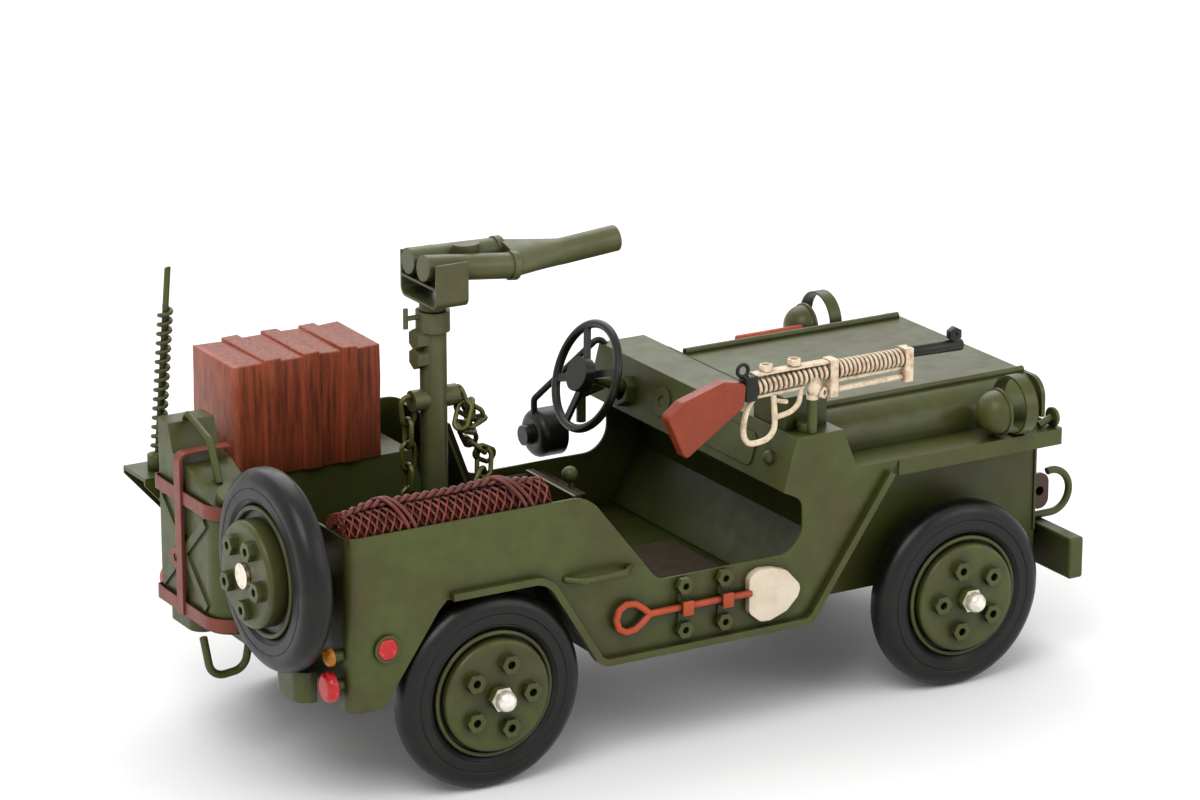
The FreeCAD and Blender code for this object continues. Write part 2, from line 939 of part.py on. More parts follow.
def fender():
    plan = [
        (cowl_foot_x, -bay_half_width),
        (cowl_foot_x, -tub_inside),
        (side_front_x, -tub_inside),
        (side_front_x, -tub_half),
        (fender_front_x, -tub_half, fender_round),
        (fender_front_x, -bay_half_width),
    ]
    hollow = [
        (cowl_foot_x - overrun, overrun - bay_half_width),
        (cowl_foot_x - overrun, -tub_inside),
        (fender_front_x - sheet, -tub_inside, fender_round - sheet),
        (fender_front_x - sheet, overrun - bay_half_width),
    ]
    low = fender_top - fender_depth
    return plate_xy(plan, low, fender_top).cut(plate_xy(hollow, low - overrun, fender_top - sheet))


def front_bumper():
    bumper = block(
        bumper_rear_x, bumper_front_x, -bumper_length / 2, bumper_length / 2, bumper_bottom, bumper_top
    )
    return bumper.makeFillet(bumper_round, bumper.Edges)


def chassis_rail():
    rail = block(
        rail_rear_x, bumper_rear_x, -rail_inner - rail_width, -rail_inner, rail_bottom, floor_bottom
    )
    for axle_x in (rear_axle_x, front_axle_x):
        start = vec(axle_x, -rail_inner - rail_width - overrun, axle_z)
        rail = rail.cut(bar(start, vec(axle_x, overrun - rail_inner, axle_z), axle_radius + fit))
    return rail


# One fixed axle with its collars, end nuts and domes
def axle(axle_x):
    hub_start = wheel_y + hub_inner_face - slip
    face = wheel_y + dish_face + slip
    dome = wheel_y + dish_face + end_dome_stand
    pieces = [bar(vec(axle_x, -hub_start, axle_z), vec(axle_x, hub_start, axle_z), axle_radius)]
    for side in (-1, 1):
        collar_start = vec(axle_x, side * (hub_start - axle_collar_width), axle_z)
        pieces.append(bar(collar_start, vec(axle_x, side * hub_start, axle_z), axle_collar_radius))
        pieces.append(bar(vec(axle_x, 0, axle_z), vec(axle_x, side * face, axle_z), stub_radius))
        end_nut = hex_prism(end_nut_across, end_nut_height, 0)
        pieces.append(placed(end_nut, vec(axle_x, side * face, axle_z), vec(0, side, 0)))
        dome_place = vec(axle_x, side * dome, axle_z)
        pieces.append(bar(vec(axle_x, side * face, axle_z), dome_place, end_dome_radius))
        pieces.append(Part.makeSphere(end_dome_radius, dome_place))
    return joined(pieces)


# Wheels are made about the Y axis with their outer face towards +Y
def tyre():
    half = tyre_width / 2
    bore = rim_radius + fit
    return revolved([
        (bore, -half),
        (wheel_radius, -half, tyre_round),
        (wheel_radius, half, tyre_round),
        (bore, half),
    ])


def rim(lug_turn, radius, face, circle):
    lip = rim_radius - rim_lip
    profile = [
        (rim_radius, -rim_half_width),
        (rim_radius, rim_half_width),
        (lip, rim_half_width),
        (lip, flange_face),
        (radius, flange_face),
        (radius, face, dish_round),
        (hub_bore, face),
        (hub_bore, hub_inner_face),
        (hub_radius, hub_inner_face),
        (hub_radius, face - sheet),
        (radius - sheet, face - sheet, dish_round - sheet),
        (radius - sheet, flange_face - sheet),
        (lip, flange_face - sheet),
        (lip, -rim_half_width),
    ]
    pieces = [revolved(profile)]
    for index in range(lug_count):
        angle = math.radians(lug_turn + 360 / lug_count * index)
        base = vec(circle * math.cos(angle), face, circle * math.sin(angle))
        pieces.append(placed(nut(lug_across, lug_height, lug_hole), base, vec(0, 1, 0)))
    return joined(pieces)


def at_wheel(shape, axle_x, side):
    wheel = shape.copy() if side > 0 else mirrored(shape)
    wheel.translate(vec(axle_x, side * wheel_y, axle_z))
    return wheel


def at_spare(shape):
    spare = shape.copy()
    spare.rotate(vec(0, 0, 0), vec(0, 0, 1), 90)
    spare.translate(vec(spare_x, spare_y, spare_z))
    return spare


def spare_hub():
    boss_end = spare_x - hub_inner_face + slip
    face = spare_x - spare_dish_face
    boss = bar(vec(tub_rear_x, spare_y, spare_z), vec(boss_end, spare_y, spare_z), spare_boss)
    bolt = bar(vec(tub_rear_x, spare_y, spare_z), vec(spare_end_x, spare_y, spare_z), stub_radius)
    end = bar(vec(face - slip, spare_y, spare_z), vec(spare_end_x, spare_y, spare_z), spare_end_radius)
    return joined([boss, bolt, end])


def front_hook():
    centre_z = bumper_top + hook_rod + hook_bend
    points = [vec(hook_foot_x, -hook_y, bumper_top + hook_rod)]
    foot_end = vec(hook_centre_x, -hook_y, bumper_top + hook_rod)
    half_angle = math.radians((hook_tip_angle - 90) / 2)
    angle = math.radians(hook_tip_angle)
    middle = vec(
        hook_centre_x + hook_bend * math.cos(half_angle), -hook_y, centre_z + hook_bend * math.sin(half_angle)
    )
    tip = vec(hook_centre_x + hook_bend * math.cos(angle), -hook_y, centre_z + hook_bend * math.sin(angle))
    path = Part.Wire([Part.makeLine(points[0], foot_end), Part.Arc(foot_end, middle, tip).toShape()])
    section = Part.Wire([Part.makeCircle(hook_rod, points[0], vec(1, 0, 0))])
    return path.makePipeShell([section], True, False)


def rear_hook():
    points = [
        vec(rear_hook_tip_x, 0, rear_hook_tip_z),
        vec(rear_hook_low_x, 0, rear_hook_low_z),
        vec(rear_hook_back_x, 0, rear_hook_back_z),
        vec(rear_hook_neck_x, 0, rear_hook_neck_z),
        vec(tub_rear_x, 0, rear_hook_neck_z),
    ]
    path = Part.Wire(run_edges(points, [0, rear_hook_bend, rear_hook_bend, rear_hook_neck_bend, 0], False))
    section = Part.Wire([Part.makeCircle(hook_rod, points[0], points[1] - points[0])])
    return path.makePipeShell([section], True, False)


def winch():
    ends = winch_half_length - winch_flange
    half = winch_flange_width / 2
    rise = winch_flange_height / 2
    flange = [
        (-half, -rise, half * end_round_share),
        (half, -rise, half * end_round_share),
        (half, rise, half * end_round_share),
        (-half, rise, half * end_round_share),
    ]
    pieces = [bar(vec(winch_x, -ends, winch_z), vec(winch_x, ends, winch_z), winch_core)]
    for side in (-1, 1):
        outline = [(winch_x + place[0], winch_z + place[1], place[2]) for place in flange]
        pieces.append(plate_xz(outline, side * ends, side * winch_half_length))
    drum = joined(pieces)
    reach = winch_half_length + overrun
    return drum.cut(bar(vec(winch_x, -reach, winch_z), vec(winch_x, reach, winch_z), winch_bore))


# The two saddles on the bumper that carry the drum
def winch_saddle():
    inner = winch_bracket_y - winch_bracket_width
    saddle = block(bumper_rear_x, bumper_front_x - hook_rod, -winch_bracket_y, -inner, bumper_top, winch_z)
    outer_place = vec(winch_x, -winch_bracket_y - overrun, winch_z)
    return saddle.cut(bar(outer_place, vec(winch_x, 0, winch_z), winch_core))


def headlamp():
    rim_front = lamp_x + lamp_rim_width
    centre = vec(lamp_x, -lamp_y, lamp_z)
    reach = lamp_radius + overrun
    front_half = block(
        lamp_x, lamp_x + reach, -lamp_y - reach, reach - lamp_y, lamp_z - reach, lamp_z + reach
    )
    dome = Part.makeSphere(lamp_radius, centre).cut(front_half)
    ring = bar(centre, vec(rim_front, -lamp_y, lamp_z), lamp_rim_radius)
    foot = bar(vec(lamp_x, -lamp_y, fender_top), vec(lamp_x, -lamp_y, lamp_z - lamp_radius / 2), lamp_foot)
    return joined([dome, ring, foot])


# The strip ring that stands on the fender in front of each headlamp
def lamp_guard():
    rear = vec(guard_x, -lamp_y, fender_top + guard_radius)
    front = rear + vec(guard_width, 0, 0)
    past = vec(overrun, 0, 0)
    return bar(rear, front, guard_radius).cut(bar(rear - past, front + past, guard_radius - sheet))


def marker_lamp():
    rear = vec(marker_x - marker_stem_length, -lamp_y, fender_top + marker_stem)
    front = vec(marker_x, -lamp_y, marker_z)
    head = bar(front, vec(marker_x + marker_head, -lamp_y, marker_z), marker_radius)
    front_edges = [edge for edge in head.Edges if edge.BoundBox.XMin > marker_x]
    head = head.makeFillet(marker_round, front_edges)
    return joined([bar(rear, front, marker_stem), head])


# A tail lens, and the short stem between it and the rear panel
def tail_lens(z, radius, stand):
    stem_end = tub_rear_x - lens_gap
    lens = bar(vec(stem_end, -tail_y, z), vec(stem_end - stand, -tail_y, z), radius)
    rim_edges = [edge for edge in lens.Edges if edge.BoundBox.XMax < stem_end]
    return lens.makeFillet(radius * lens_round_share, rim_edges)


def tail_stem(z):
    return bar(vec(tub_rear_x, -tail_y, z), vec(tub_rear_x - lens_gap, -tail_y, z), lens_stem)


def side_reflector():
    start = vec(reflector_x, -tub_half, reflector_z)
    lens = bar(start, vec(reflector_x, -tub_half - reflector_stand, reflector_z), reflector_radius)
    rim_edges = [edge for edge in lens.Edges if edge.BoundBox.YMax < -tub_half - reflector_stand / 2]
    return lens.makeFillet(reflector_stand / 2, rim_edges)


def reflector_bezel():
    outer = Part.makeCylinder(reflector_radius + bezel_width, bezel_width)
    inner = Part.makeCylinder(reflector_radius + fit, bezel_width + overrun)
    return placed(outer.cut(inner), vec(reflector_x, -tub_half, reflector_z), vec(0, -1, 0))


def jerry_can():
    front_x = tub_rear_x - fit
    profile = [
        (can_left_y, can_bottom),
        (can_left_y, can_horn_top),
        (can_horn_y, can_horn_top),
        (can_recess_y, can_recess_z),
        (can_shoulder_y, can_shoulder_z),
        (can_right_y, can_slope_foot_z),
        (can_right_y, can_bottom),
    ]
    plan = [
        (front_x, can_left_y),
        (rear_plane_x, can_left_y, can_left_round),
        (rear_plane_x, can_right_y, can_right_round),
        (front_x, can_right_y),
    ]
    body = plate_yz(profile, rear_plane_x, front_x)
    body = body.common(plate_xy(plan, can_bottom - overrun, can_horn_top + overrun))
    pieces = [body, can_rib(can_rib_left, can_rib_right), can_rib(can_rib_right, can_rib_left), can_cap()]
    return joined(pieces)


# One arm of the pressed cross on the rear face
def can_rib(top_y, bottom_y):
    across = vec(0, can_rib_top - can_rib_bottom, bottom_y - top_y).normalize() * (can_rib_width / 2)
    top = vec(rear_plane_x - rib_stand, top_y, can_rib_top)
    bottom = vec(rear_plane_x - rib_stand, bottom_y, can_rib_bottom)
    face = outline_face([top + across, bottom + across, bottom - across, top - across], [0] * 4)
    return face.extrude(vec(rib_stand + overrun, 0, 0))


def can_cap():
    share = (can_shoulder_y - can_cap_y) / (can_shoulder_y - can_right_y)
    cap_z = can_shoulder_z - share * (can_shoulder_z - can_slope_foot_z)
    slope = vec(0, can_slope_foot_z - can_shoulder_z, can_shoulder_y - can_right_y).normalize()
    base = vec(can_cap_x, can_cap_y, cap_z) - slope * overrun
    return placed(Part.makeCylinder(can_cap_radius, can_cap_height + overrun), base, slope)


def can_handle():
    share = (can_shoulder_y - handle_foot_y) / (can_shoulder_y - can_right_y)
    foot_z = can_shoulder_z - share * (can_shoulder_z - can_slope_foot_z)
    points = [
        vec(handle_x, can_horn_y + can_left_round, can_horn_top),
        vec(handle_x, can_horn_y, handle_high_z),
        vec(handle_x, handle_bend_y, handle_bend_z),
        vec(handle_x, handle_foot_y, foot_z),
    ]
    return rod(points, handle_rod, handle_bend)


# A strap band round three sides of the can
def can_band(z):
    front_x = tub_rear_x
    rear_x = rear_plane_x - rib_stand - fit
    outer = [
        (front_x, can_left_y + strap_sheet + fit),
        (rear_x - strap_sheet, can_left_y + strap_sheet + fit, can_left_round + strap_sheet),
        (rear_x - strap_sheet, can_right_y - strap_sheet - fit, can_right_round + strap_sheet),
        (front_x, can_right_y - strap_sheet - fit),
    ]
    inner = [
        (front_x + overrun, can_left_y + fit),
        (rear_x, can_left_y + fit, can_left_round),
        (rear_x, can_right_y - fit, can_right_round),
        (front_x + overrun, can_right_y - fit),
    ]
    low = z - strap_width / 2
    band = plate_xy(outer, low, low + strap_width)
    return band.cut(plate_xy(inner, low - overrun, low + strap_width + overrun))


def can_straps():
    rear_x = rear_plane_x - rib_stand - fit - strap_sheet
    left = strap_y - strap_width / 2
    top_z = can_recess_z + strap_stand
    low_z = strap_lower_z - strap_width / 2
    strip = [
        (rear_x + strap_sheet, low_z),
        (rear_x + strap_sheet, top_z, strap_stand),
        (tub_rear_x, top_z),
        (tub_rear_x, top_z + strap_sheet),
        (rear_x - strap_sheet, top_z + strap_sheet, strap_stand + 2 * strap_sheet),
        (rear_x - strap_sheet, low_z),
    ]
    strap = plate_xz(strip, left, left + strap_width)
    ring_centre = vec(rear_x, strap_ring_y, strap_ring_z)
    ring = bar(ring_centre - vec(strap_sheet, 0, 0), ring_centre, strap_ring_radius)
    whole = joined([can_band(strap_upper_z), can_band(strap_lower_z), strap, ring])
    return whole.cut(bar(ring_centre - vec(strap_sheet + overrun, 0, 0), ring_centre, strap_ring_bore))


def antenna_shelf():
    under = shelf_top - shelf_sheet
    plate = block(shelf_rear_x, tub_rear_x, shelf_inner_y, shelf_outer_y, under, shelf_top)
    gusset = [
        (tub_rear_x, under - gusset_depth),
        (shelf_rear_x, under - shelf_sheet),
        (shelf_rear_x, under),
        (tub_rear_x, under),
    ]
    web = plate_xz(gusset, shelf_outer_y - sheet, shelf_outer_y)
    web_inner = plate_xz(gusset, shelf_inner_y, shelf_inner_y + sheet)
    return joined([plate, web, web_inner])


# The whip and the envelope of the spring round it
def antenna():
    base = vec(antenna_x, antenna_y, shelf_top)
    top = vec(antenna_top_x, antenna_y, antenna_top)
    axis = (top - base).normalize()
    coil_length = (antenna_coil_top - shelf_top) / axis.z
    foot_end = base + vec(0, 0, antenna_foot_height)
    return joined([
        bar(base, foot_end, antenna_foot),
        bar(base, top, antenna_rod),
        bar(base + axis * antenna_foot_height, base + axis * coil_length, antenna_coil),
    ])


# A bent strip under the rear panel: its left end returns to the panel and its right end stops short
def bumperette(start_y, end_y):
    inside = bumperette_sheet
    outline = [
        (tub_rear_x, start_y),
        (bumperette_x, start_y, bumperette_round),
        (bumperette_x, end_y, bumperette_round),
        (bumperette_end_x, end_y),
        (bumperette_end_x, end_y + inside),
        (bumperette_x + inside, end_y + inside, bumperette_round - inside),
        (bumperette_x + inside, start_y - inside, bumperette_round - inside),
        (tub_rear_x, start_y - inside),
    ]
    return plate_xy(outline, bumperette_bottom, can_bottom)


def crate():
    rear_x = crate_front_x - crate_length
    outer_y = crate_inner_y + crate_width
    top = box_top + crate_height
    inset = crate_band_stand
    core = block(rear_x, crate_front_x, crate_inner_y + inset, outer_y - inset, box_top, top - inset)
    upper_edges = [edge for edge in core.Edges if edge.BoundBox.ZMax > box_top + hairline]
    pieces = [core.makeFillet(crate_round, upper_edges)]
    for share in crate_band_shares:
        start = rear_x + share * crate_length
        band = block(start, start + crate_band, crate_inner_y, outer_y, box_top, top)
        high_edges = [edge for edge in band.Edges if edge.BoundBox.ZMin > box_top + hairline]
        long_edges = [edge for edge in high_edges if edge.BoundBox.XLength > hairline]
        pieces.append(band.makeFillet(crate_round, long_edges))
    return joined(pieces)


# The rolled net with the rope laid along its top and its two lashings
def net_roll():
    net_z = box_top + net_radius
    roll = bar(vec(net_rear_x, net_y, net_z), vec(net_front_x, net_y, net_z), net_radius)
    pieces = [roll]
    for share in lashing_shares:
        loop_x = net_rear_x + share * (net_front_x - net_rear_x)
        loop = Part.makeTorus(net_radius, rope_loop, vec(loop_x, net_y, net_z), vec(1, 0, 0))
        under = block(
            loop_x - rope_loop, loop_x + rope_loop, net_y - net_radius, net_y + net_radius,
            box_top - rope_loop, box_top,
        )
        pieces.append(loop.cut(under))
    rope_z = net_z + net_radius + rope_radius / 2
    pieces.append(bar(vec(net_rear_x, net_y, rope_z), vec(net_front_x, net_y, rope_z), rope_radius))
    return joined(pieces)


def gun_post():
    post = bar(vec(post_x, 0, floor_top), vec(post_x, 0, post_top), post_radius)
    collar_low = post_top - collar_height
    collar = bar(vec(post_x, 0, collar_low), vec(post_x, 0, post_top), collar_radius)
    pieces = [post, collar]
    for height in (post_nut_upper, post_nut_lower):
        side_nut = hex_prism(post_nut_across, post_radius + post_nut_stand, 0)
        pieces.append(placed(side_nut, vec(post_x, 0, height), vec(-1, 0, 0)))
    clamp_end = vec(post_x - clamp_reach, 0, clamp_z)
    pieces.append(bar(vec(post_x - post_radius, 0, clamp_z), clamp_end, clamp_rod))
    lift = vec(0, 0, clamp_bar)
    pieces.append(bar(clamp_end - lift, clamp_end + lift, clamp_rod))
    for side in (-1, 1):
        boss_end = vec(post_x + side * (post_radius + boss_stand), 0, boss_z)
        pieces.append(bar(vec(post_x, 0, boss_z), boss_end, boss_radius))
    post_body = joined(pieces)
    bore = bar(
        vec(post_x, 0, post_top - pin_depth - slip), vec(post_x, 0, post_top + overrun), pin_radius + fit
    )
    return post_body.cut(bore)


# One flat oval ring, lying in its own XY plane with its length along X
def chain_link():
    half = link_length / 2
    side = link_width / 2
    outer = [
        (-half, -side, side * end_round_share),
        (half, -side, side * end_round_share),
        (half, side, side * end_round_share),
        (-half, side, side * end_round_share),
    ]
    hole = side - link_wire
    reach = half - link_wire
    inner = [
        (-reach, -hole, hole * end_round_share),
        (reach, -hole, hole * end_round_share),
        (reach, hole, hole * end_round_share),
        (-reach, hole, hole * end_round_share),
    ]
    ring = plate_xy(outer, -link_wire / 2, link_wire / 2)
    return ring.cut(plate_xy(inner, -link_wire, link_wire))


# Links from a start point, each with its own direction, turned by a quarter from the one before
def chain(start, headings):
    links = []
    place = start
    pitch = link_length - 2 * link_wire - fit
    for index, heading in enumerate(headings):
        way = vec(*heading).normalize()
        link = chain_link()
        link.rotate(vec(0, 0, 0), vec(1, 0, 0), 90 * (index % 2))
        link.translate(vec(link_length / 2 - link_wire, 0, 0))
        turned = FreeCAD.Rotation(vec(1, 0, 0), way)
        link.Placement = FreeCAD.Placement(place, turned).multiply(link.Placement)
        links.append(link)
        place = place + way * pitch
    return links


def chains():
    left_start = vec(post_x - post_radius - boss_stand - link_wire / 2 - fit, 0, boss_z)
    down = (0, 0, -1)
    left = chain(left_start, [down] * left_chain_count)
    right_start = vec(post_x + post_radius + boss_stand + link_wire, 0, boss_z)
    return left + chain(right_start, right_chain_headings)


def gun_cradle():
    outer = [
        (-cradle_half_width, cradle_bottom, cradle_round),
        (cradle_half_width, cradle_bottom, cradle_round),
        (cradle_half_width, cradle_bottom + cradle_height),
        (-cradle_half_width, cradle_bottom + cradle_height),
    ]
    inside = cradle_half_width - sheet
    inner = [
        (-inside, cradle_bottom + sheet, cradle_round - sheet),
        (inside, cradle_bottom + sheet, cradle_round - sheet),
        (inside, cradle_bottom + cradle_height + overrun),
        (-inside, cradle_bottom + cradle_height + overrun),
    ]
    front = cradle_x + cradle_length
    shell = plate_yz(outer, cradle_x, front).cut(plate_yz(inner, cradle_x - overrun, front + overrun))
    shelf = block(cradle_x, front, -inside, inside, cradle_shelf_z, cradle_shelf_z + sheet)
    neck_low = post_top + slip
    neck = bar(vec(post_x, 0, neck_low), vec(post_x, 0, cradle_bottom + sheet / 2), post_radius)
    pin = bar(vec(post_x, 0, post_top - pin_depth), vec(post_x, 0, cradle_bottom), pin_radius)
    return joined([shell, shelf, neck, pin])


def gun_barrels():
    pieces = []
    for side, collar_z in ((-1, near_collar_z), (1, far_collar_z)):
        rear = vec(tube_rear_x, side * tube_half_gap, tube_rear_z)
        front = vec(tube_collar_x, side * tube_half_gap, collar_z)
        way = (front - rear).normalize()
        pieces.append(bar(rear, front, tube_radius))
        pieces.append(bar(front - way * tube_collar_width, front, tube_collar_radius))
    cone_z = (near_collar_z + far_collar_z) / 2
    tilt = math.degrees(math.atan2(far_collar_z - near_collar_z, 2 * tube_half_gap))
    ellipse = Part.Ellipse(vec(0, 0, 0), cone_half_width, cone_half_height).toShape()
    ellipse.rotate(vec(0, 0, 0), vec(0, 0, 1), tilt)
    ellipse.rotate(vec(0, 0, 0), vec(0, 0, 1), 90)
    ellipse.rotate(vec(0, 0, 0), vec(0, 1, 0), 90)
    ellipse.translate(vec(tube_collar_x - overrun, 0, cone_z))
    root = vec(cone_front_x, 0, barrel_root_z)
    end = vec(barrel_end_x, 0, barrel_end_z)
    way = (end - root).normalize()
    circle = Part.makeCircle(barrel_radius, root, way)
    pieces.append(Part.makeLoft([Part.Wire([ellipse]), Part.Wire([circle])], True, True))
    pieces.append(bar(root, end, barrel_radius))
    oval_rim = Part.Ellipse(vec(0, 0, 0), oval_length / 2, oval_width / 2).toShape()
    oval = Part.Face(Part.Wire([oval_rim])).extrude(vec(0, 0, 2 * oval_sheet))
    share = (oval_x - tube_rear_x) / (tube_collar_x - tube_rear_x)
    oval_z = tube_rear_z + share * (cone_z - tube_rear_z) + tube_radius
    oval.translate(vec(oval_x, 0, oval_z - oval_sheet))
    pieces.append(oval)
    whole = joined(pieces)
    return whole.cut(bar(end - way * barrel_blind, end + way * overrun, barrel_radius - barrel_wall))


# Where the tubes lie, with a little room, so that the shelf of the cradle is cut to them
def tube_room():
    room = []
    for side, collar_z in ((-1, near_collar_z), (1, far_collar_z)):
        rear = vec(tube_rear_x, side * tube_half_gap, tube_rear_z)
        front = vec(tube_collar_x, side * tube_half_gap, collar_z)
        room.append(bar(rear, front, tube_radius + fit))
    return room[0].fuse(room[1])


def seat_frame():
    inner = -seat_y + seat_width / 2
    outer = -seat_y - seat_width / 2
    base = block(seat_rear_x, seat_front_x, outer, inner, floor_top, seat_top - seat_pad)
    back = [
        (seat_rear_x, floor_top),
        (seat_rear_x, seat_top),
        (seat_back_x, seat_back_top),
        (seat_back_x - seat_back_sheet, seat_back_top),
        (seat_rear_x - seat_back_sheet, seat_top),
        (seat_rear_x - seat_back_sheet, floor_top),
    ]
    return joined([base, plate_xz(back, outer, inner)])


def seat_pads():
    inner = -seat_y + seat_width / 2
    outer = -seat_y - seat_width / 2
    cushion = block(seat_rear_x + slip, seat_front_x, outer, inner, seat_top - seat_pad, seat_top)
    lean = math.atan2(seat_rear_x - seat_back_x, seat_back_top - seat_top)
    pad_x = seat_back_pad / math.cos(lean)
    share = slip / (seat_back_top - seat_top)
    foot_x = seat_rear_x + share * (seat_back_x - seat_rear_x)
    back = [
        (foot_x, seat_top + slip),
        (foot_x + pad_x, seat_top + slip),
        (seat_back_x + pad_x, seat_back_top),
        (seat_back_x, seat_back_top),
    ]
    return [cushion, plate_xz(back, outer, inner)]


def gear_lever():
    foot = vec(lever_x, 0, floor_top)
    knob = vec(lever_knob_x, 0, lever_knob_z)
    return joined([bar(foot, knob, lever_rod), Part.makeSphere(lever_knob, knob)])


def steering_wheel():
    rim_ring = Part.makeTorus(steer_radius, steer_rim)
    hub = Part.makeCylinder(steer_hub_radius, steer_hub_height, vec(0, 0, steer_hub_base))
    stub_length = column_stub_length + column_start + steer_hub_base + sheet
    stub = Part.makeCylinder(column_stub, stub_length, vec(0, 0, steer_hub_base + sheet), vec(0, 0, -1))
    pieces = [rim_ring, hub, stub]
    corner_place = vec(column_stub / 2, -steer_spoke_width / 2, -steer_spoke_sheet / 2)
    spoke_length = steer_radius - column_stub / 2
    for turn in steer_spoke_turns:
        spoke = Part.makeBox(spoke_length, steer_spoke_width, steer_spoke_sheet, corner_place)
        spoke.rotate(vec(0, 0, 0), vec(0, 0, 1), turn)
        pieces.append(spoke)
    return placed(joined(pieces), vec(steer_x, steer_y, steer_z), steer_axis)


# Where a line along the column from the wheel meets the dash face
def dash_x(z):
    return dash_foot_x + (z - dash_foot_z) * (dash_top_x - dash_foot_x) / (cowl_top - dash_foot_z)


def steering_column():
    start = vec(steer_x, steer_y, steer_z) - steer_axis * column_start
    sleeve_end = start - steer_axis * column_sleeve
    dash_point = vec(dash_x(dash_nut_z) + column_radius, steer_y, dash_nut_z)
    leg_top = vec(column_leg_x, column_leg_y, column_leg_top)
    whole = joined([
        bar(start, sleeve_end, column_radius),
        bar(start - steer_axis * column_radius, dash_point, column_radius),
        bar(leg_top, vec(column_leg_x, column_leg_y, column_leg_low), column_leg),
        bar(leg_top - vec(0, 0, column_leg), sleeve_end, column_leg),
    ])
    beyond = [
        (dash_foot_x, dash_foot_z),
        (dash_top_x, cowl_top),
        (cowl_foot_x, cowl_top),
        (cowl_foot_x, dash_foot_z),
    ]
    whole = whole.cut(plate_xz(beyond, 0, tub_inside))
    bore_end = start - steer_axis * (column_stub_length + slip)
    return whole.cut(bar(start + steer_axis * overrun, bore_end, column_stub + fit))


def on_dash(shape, y, z):
    normal = vec(dash_foot_z - cowl_top, 0, dash_top_x - dash_foot_x).normalize()
    return placed(shape, vec(dash_x(z), y, z), normal)


def dash_fittings():
    ring_nut = nut(dash_nut_across, dash_nut_stand, dash_nut_bore)
    disc = Part.makeCylinder(dash_disc_radius, dash_disc_stand)
    disc = disc.cut(Part.makeCylinder(dash_disc_bore, overrun, vec(0, 0, dash_disc_stand / 2)))
    knob = Part.makeSphere(dash_knob_radius)
    knob = knob.common(Part.makeCylinder(dash_knob_radius + overrun, dash_knob_radius + overrun))
    width = glove_left_y - glove_right_y
    height = (glove_top_z - glove_bottom_z) / 2
    panel = [
        (-height, -width / 2, glove_round),
        (height, -width / 2, glove_round),
        (height, width / 2, glove_round),
        (-height, width / 2, glove_round),
    ]
    glove = plate_xy(panel, 0, glove_line)
    glove_y = (glove_left_y + glove_right_y) / 2
    glove_z = (glove_top_z + glove_bottom_z) / 2
    return [
        on_dash(ring_nut, steer_y, dash_nut_z),
        on_dash(disc, dash_disc_y, dash_disc_z),
        on_dash(glove, glove_y, glove_z),
        on_dash(knob, dash_knob_y, dash_knob_z),
    ]


def rifle_line_z(x):
    return rifle_rear_z + (x - rifle_rear_x) * (rifle_front_z - rifle_rear_z) / (rifle_front_x - rifle_rear_x)


def rifle_stock():
    outline = []
    for along_share, rise_share in stock_shares:
        x = rifle_rear_x - along_share * stock_length
        z = rifle_rear_z + rise_share * stock_drop
        outline.append((x, z, stock_round))
    stock = plate_xz(outline, rifle_y - stock_half_width, rifle_y + stock_half_width)
    long_edges = [edge for edge in stock.Edges if edge.BoundBox.YLength < hairline]
    return stock.makeFillet(stock_edge, long_edges)


def rifle_receiver():
    front_end = vec(rifle_front_x, rifle_y, rifle_front_z)
    pieces = [bar(vec(rifle_rear_x, rifle_y, rifle_rear_z), front_end, rifle_core)]
    for band_x in (band_rear_x, rifle_front_x - band_width):
        top = rifle_line_z(band_x) + rifle_core
        pieces.append(block(
            band_x, band_x + band_width, rifle_y - band_half_width, rifle_y + band_half_width,
            top - rifle_core - band_drop, top + band_stand,
        ))
    for drop_share in under_rod_shares:
        drop = band_drop * drop_share
        start = vec(band_rear_x, rifle_y, rifle_line_z(band_rear_x) - drop)
        end = vec(rifle_front_x - band_width, rifle_y, rifle_line_z(rifle_front_x) - drop)
        pieces.append(bar(start, end, under_rod))
    points = []
    for along_share, drop_share in guard_shares:
        x = rifle_rear_x + along_share * guard_reach
        points.append(vec(x, rifle_y, rifle_rear_z - drop_share * guard_drop))
    pieces.append(rod(points, guard_rod, guard_bend))
    return joined(pieces)


def rifle_barrel():
    start = vec(rifle_front_x, rifle_y, rifle_front_z)
    end = vec(rifle_end_x, rifle_y, rifle_end_z)
    sight_centre = end + vec(-sight_radius, 0, sight_lift)
    half = vec(0, sight_sheet / 2, 0)
    sight = bar(sight_centre - half, sight_centre + half, sight_radius)
    whole = joined([bar(start, end, rifle_barrel_radius), sight])
    return whole.cut(bar(sight_centre - half * 2, sight_centre + half * 2, sight_bore))


# The bracket under the rifle and the box beside it, both on the cowl
def cowl_fittings():
    base = bar(
        vec(foot_x, rifle_y + foot_base_radius, cowl_top),
        vec(foot_x, rifle_y + foot_base_radius, cowl_top + foot_base_height),
        foot_base_radius,
    )
    top_z = rifle_line_z(foot_x) - rifle_core - fit
    leg = bar(vec(foot_x, rifle_y, cowl_top), vec(foot_x, rifle_y, top_z), foot_radius)
    tray = block(
        cowl_box_rear_x, cowl_box_rear_x + cowl_box_length,
        cowl_box_inner_y - cowl_box_width, cowl_box_inner_y,
        cowl_top, cowl_top + cowl_box_height,
    )
    return [joined([base, leg]), tray]


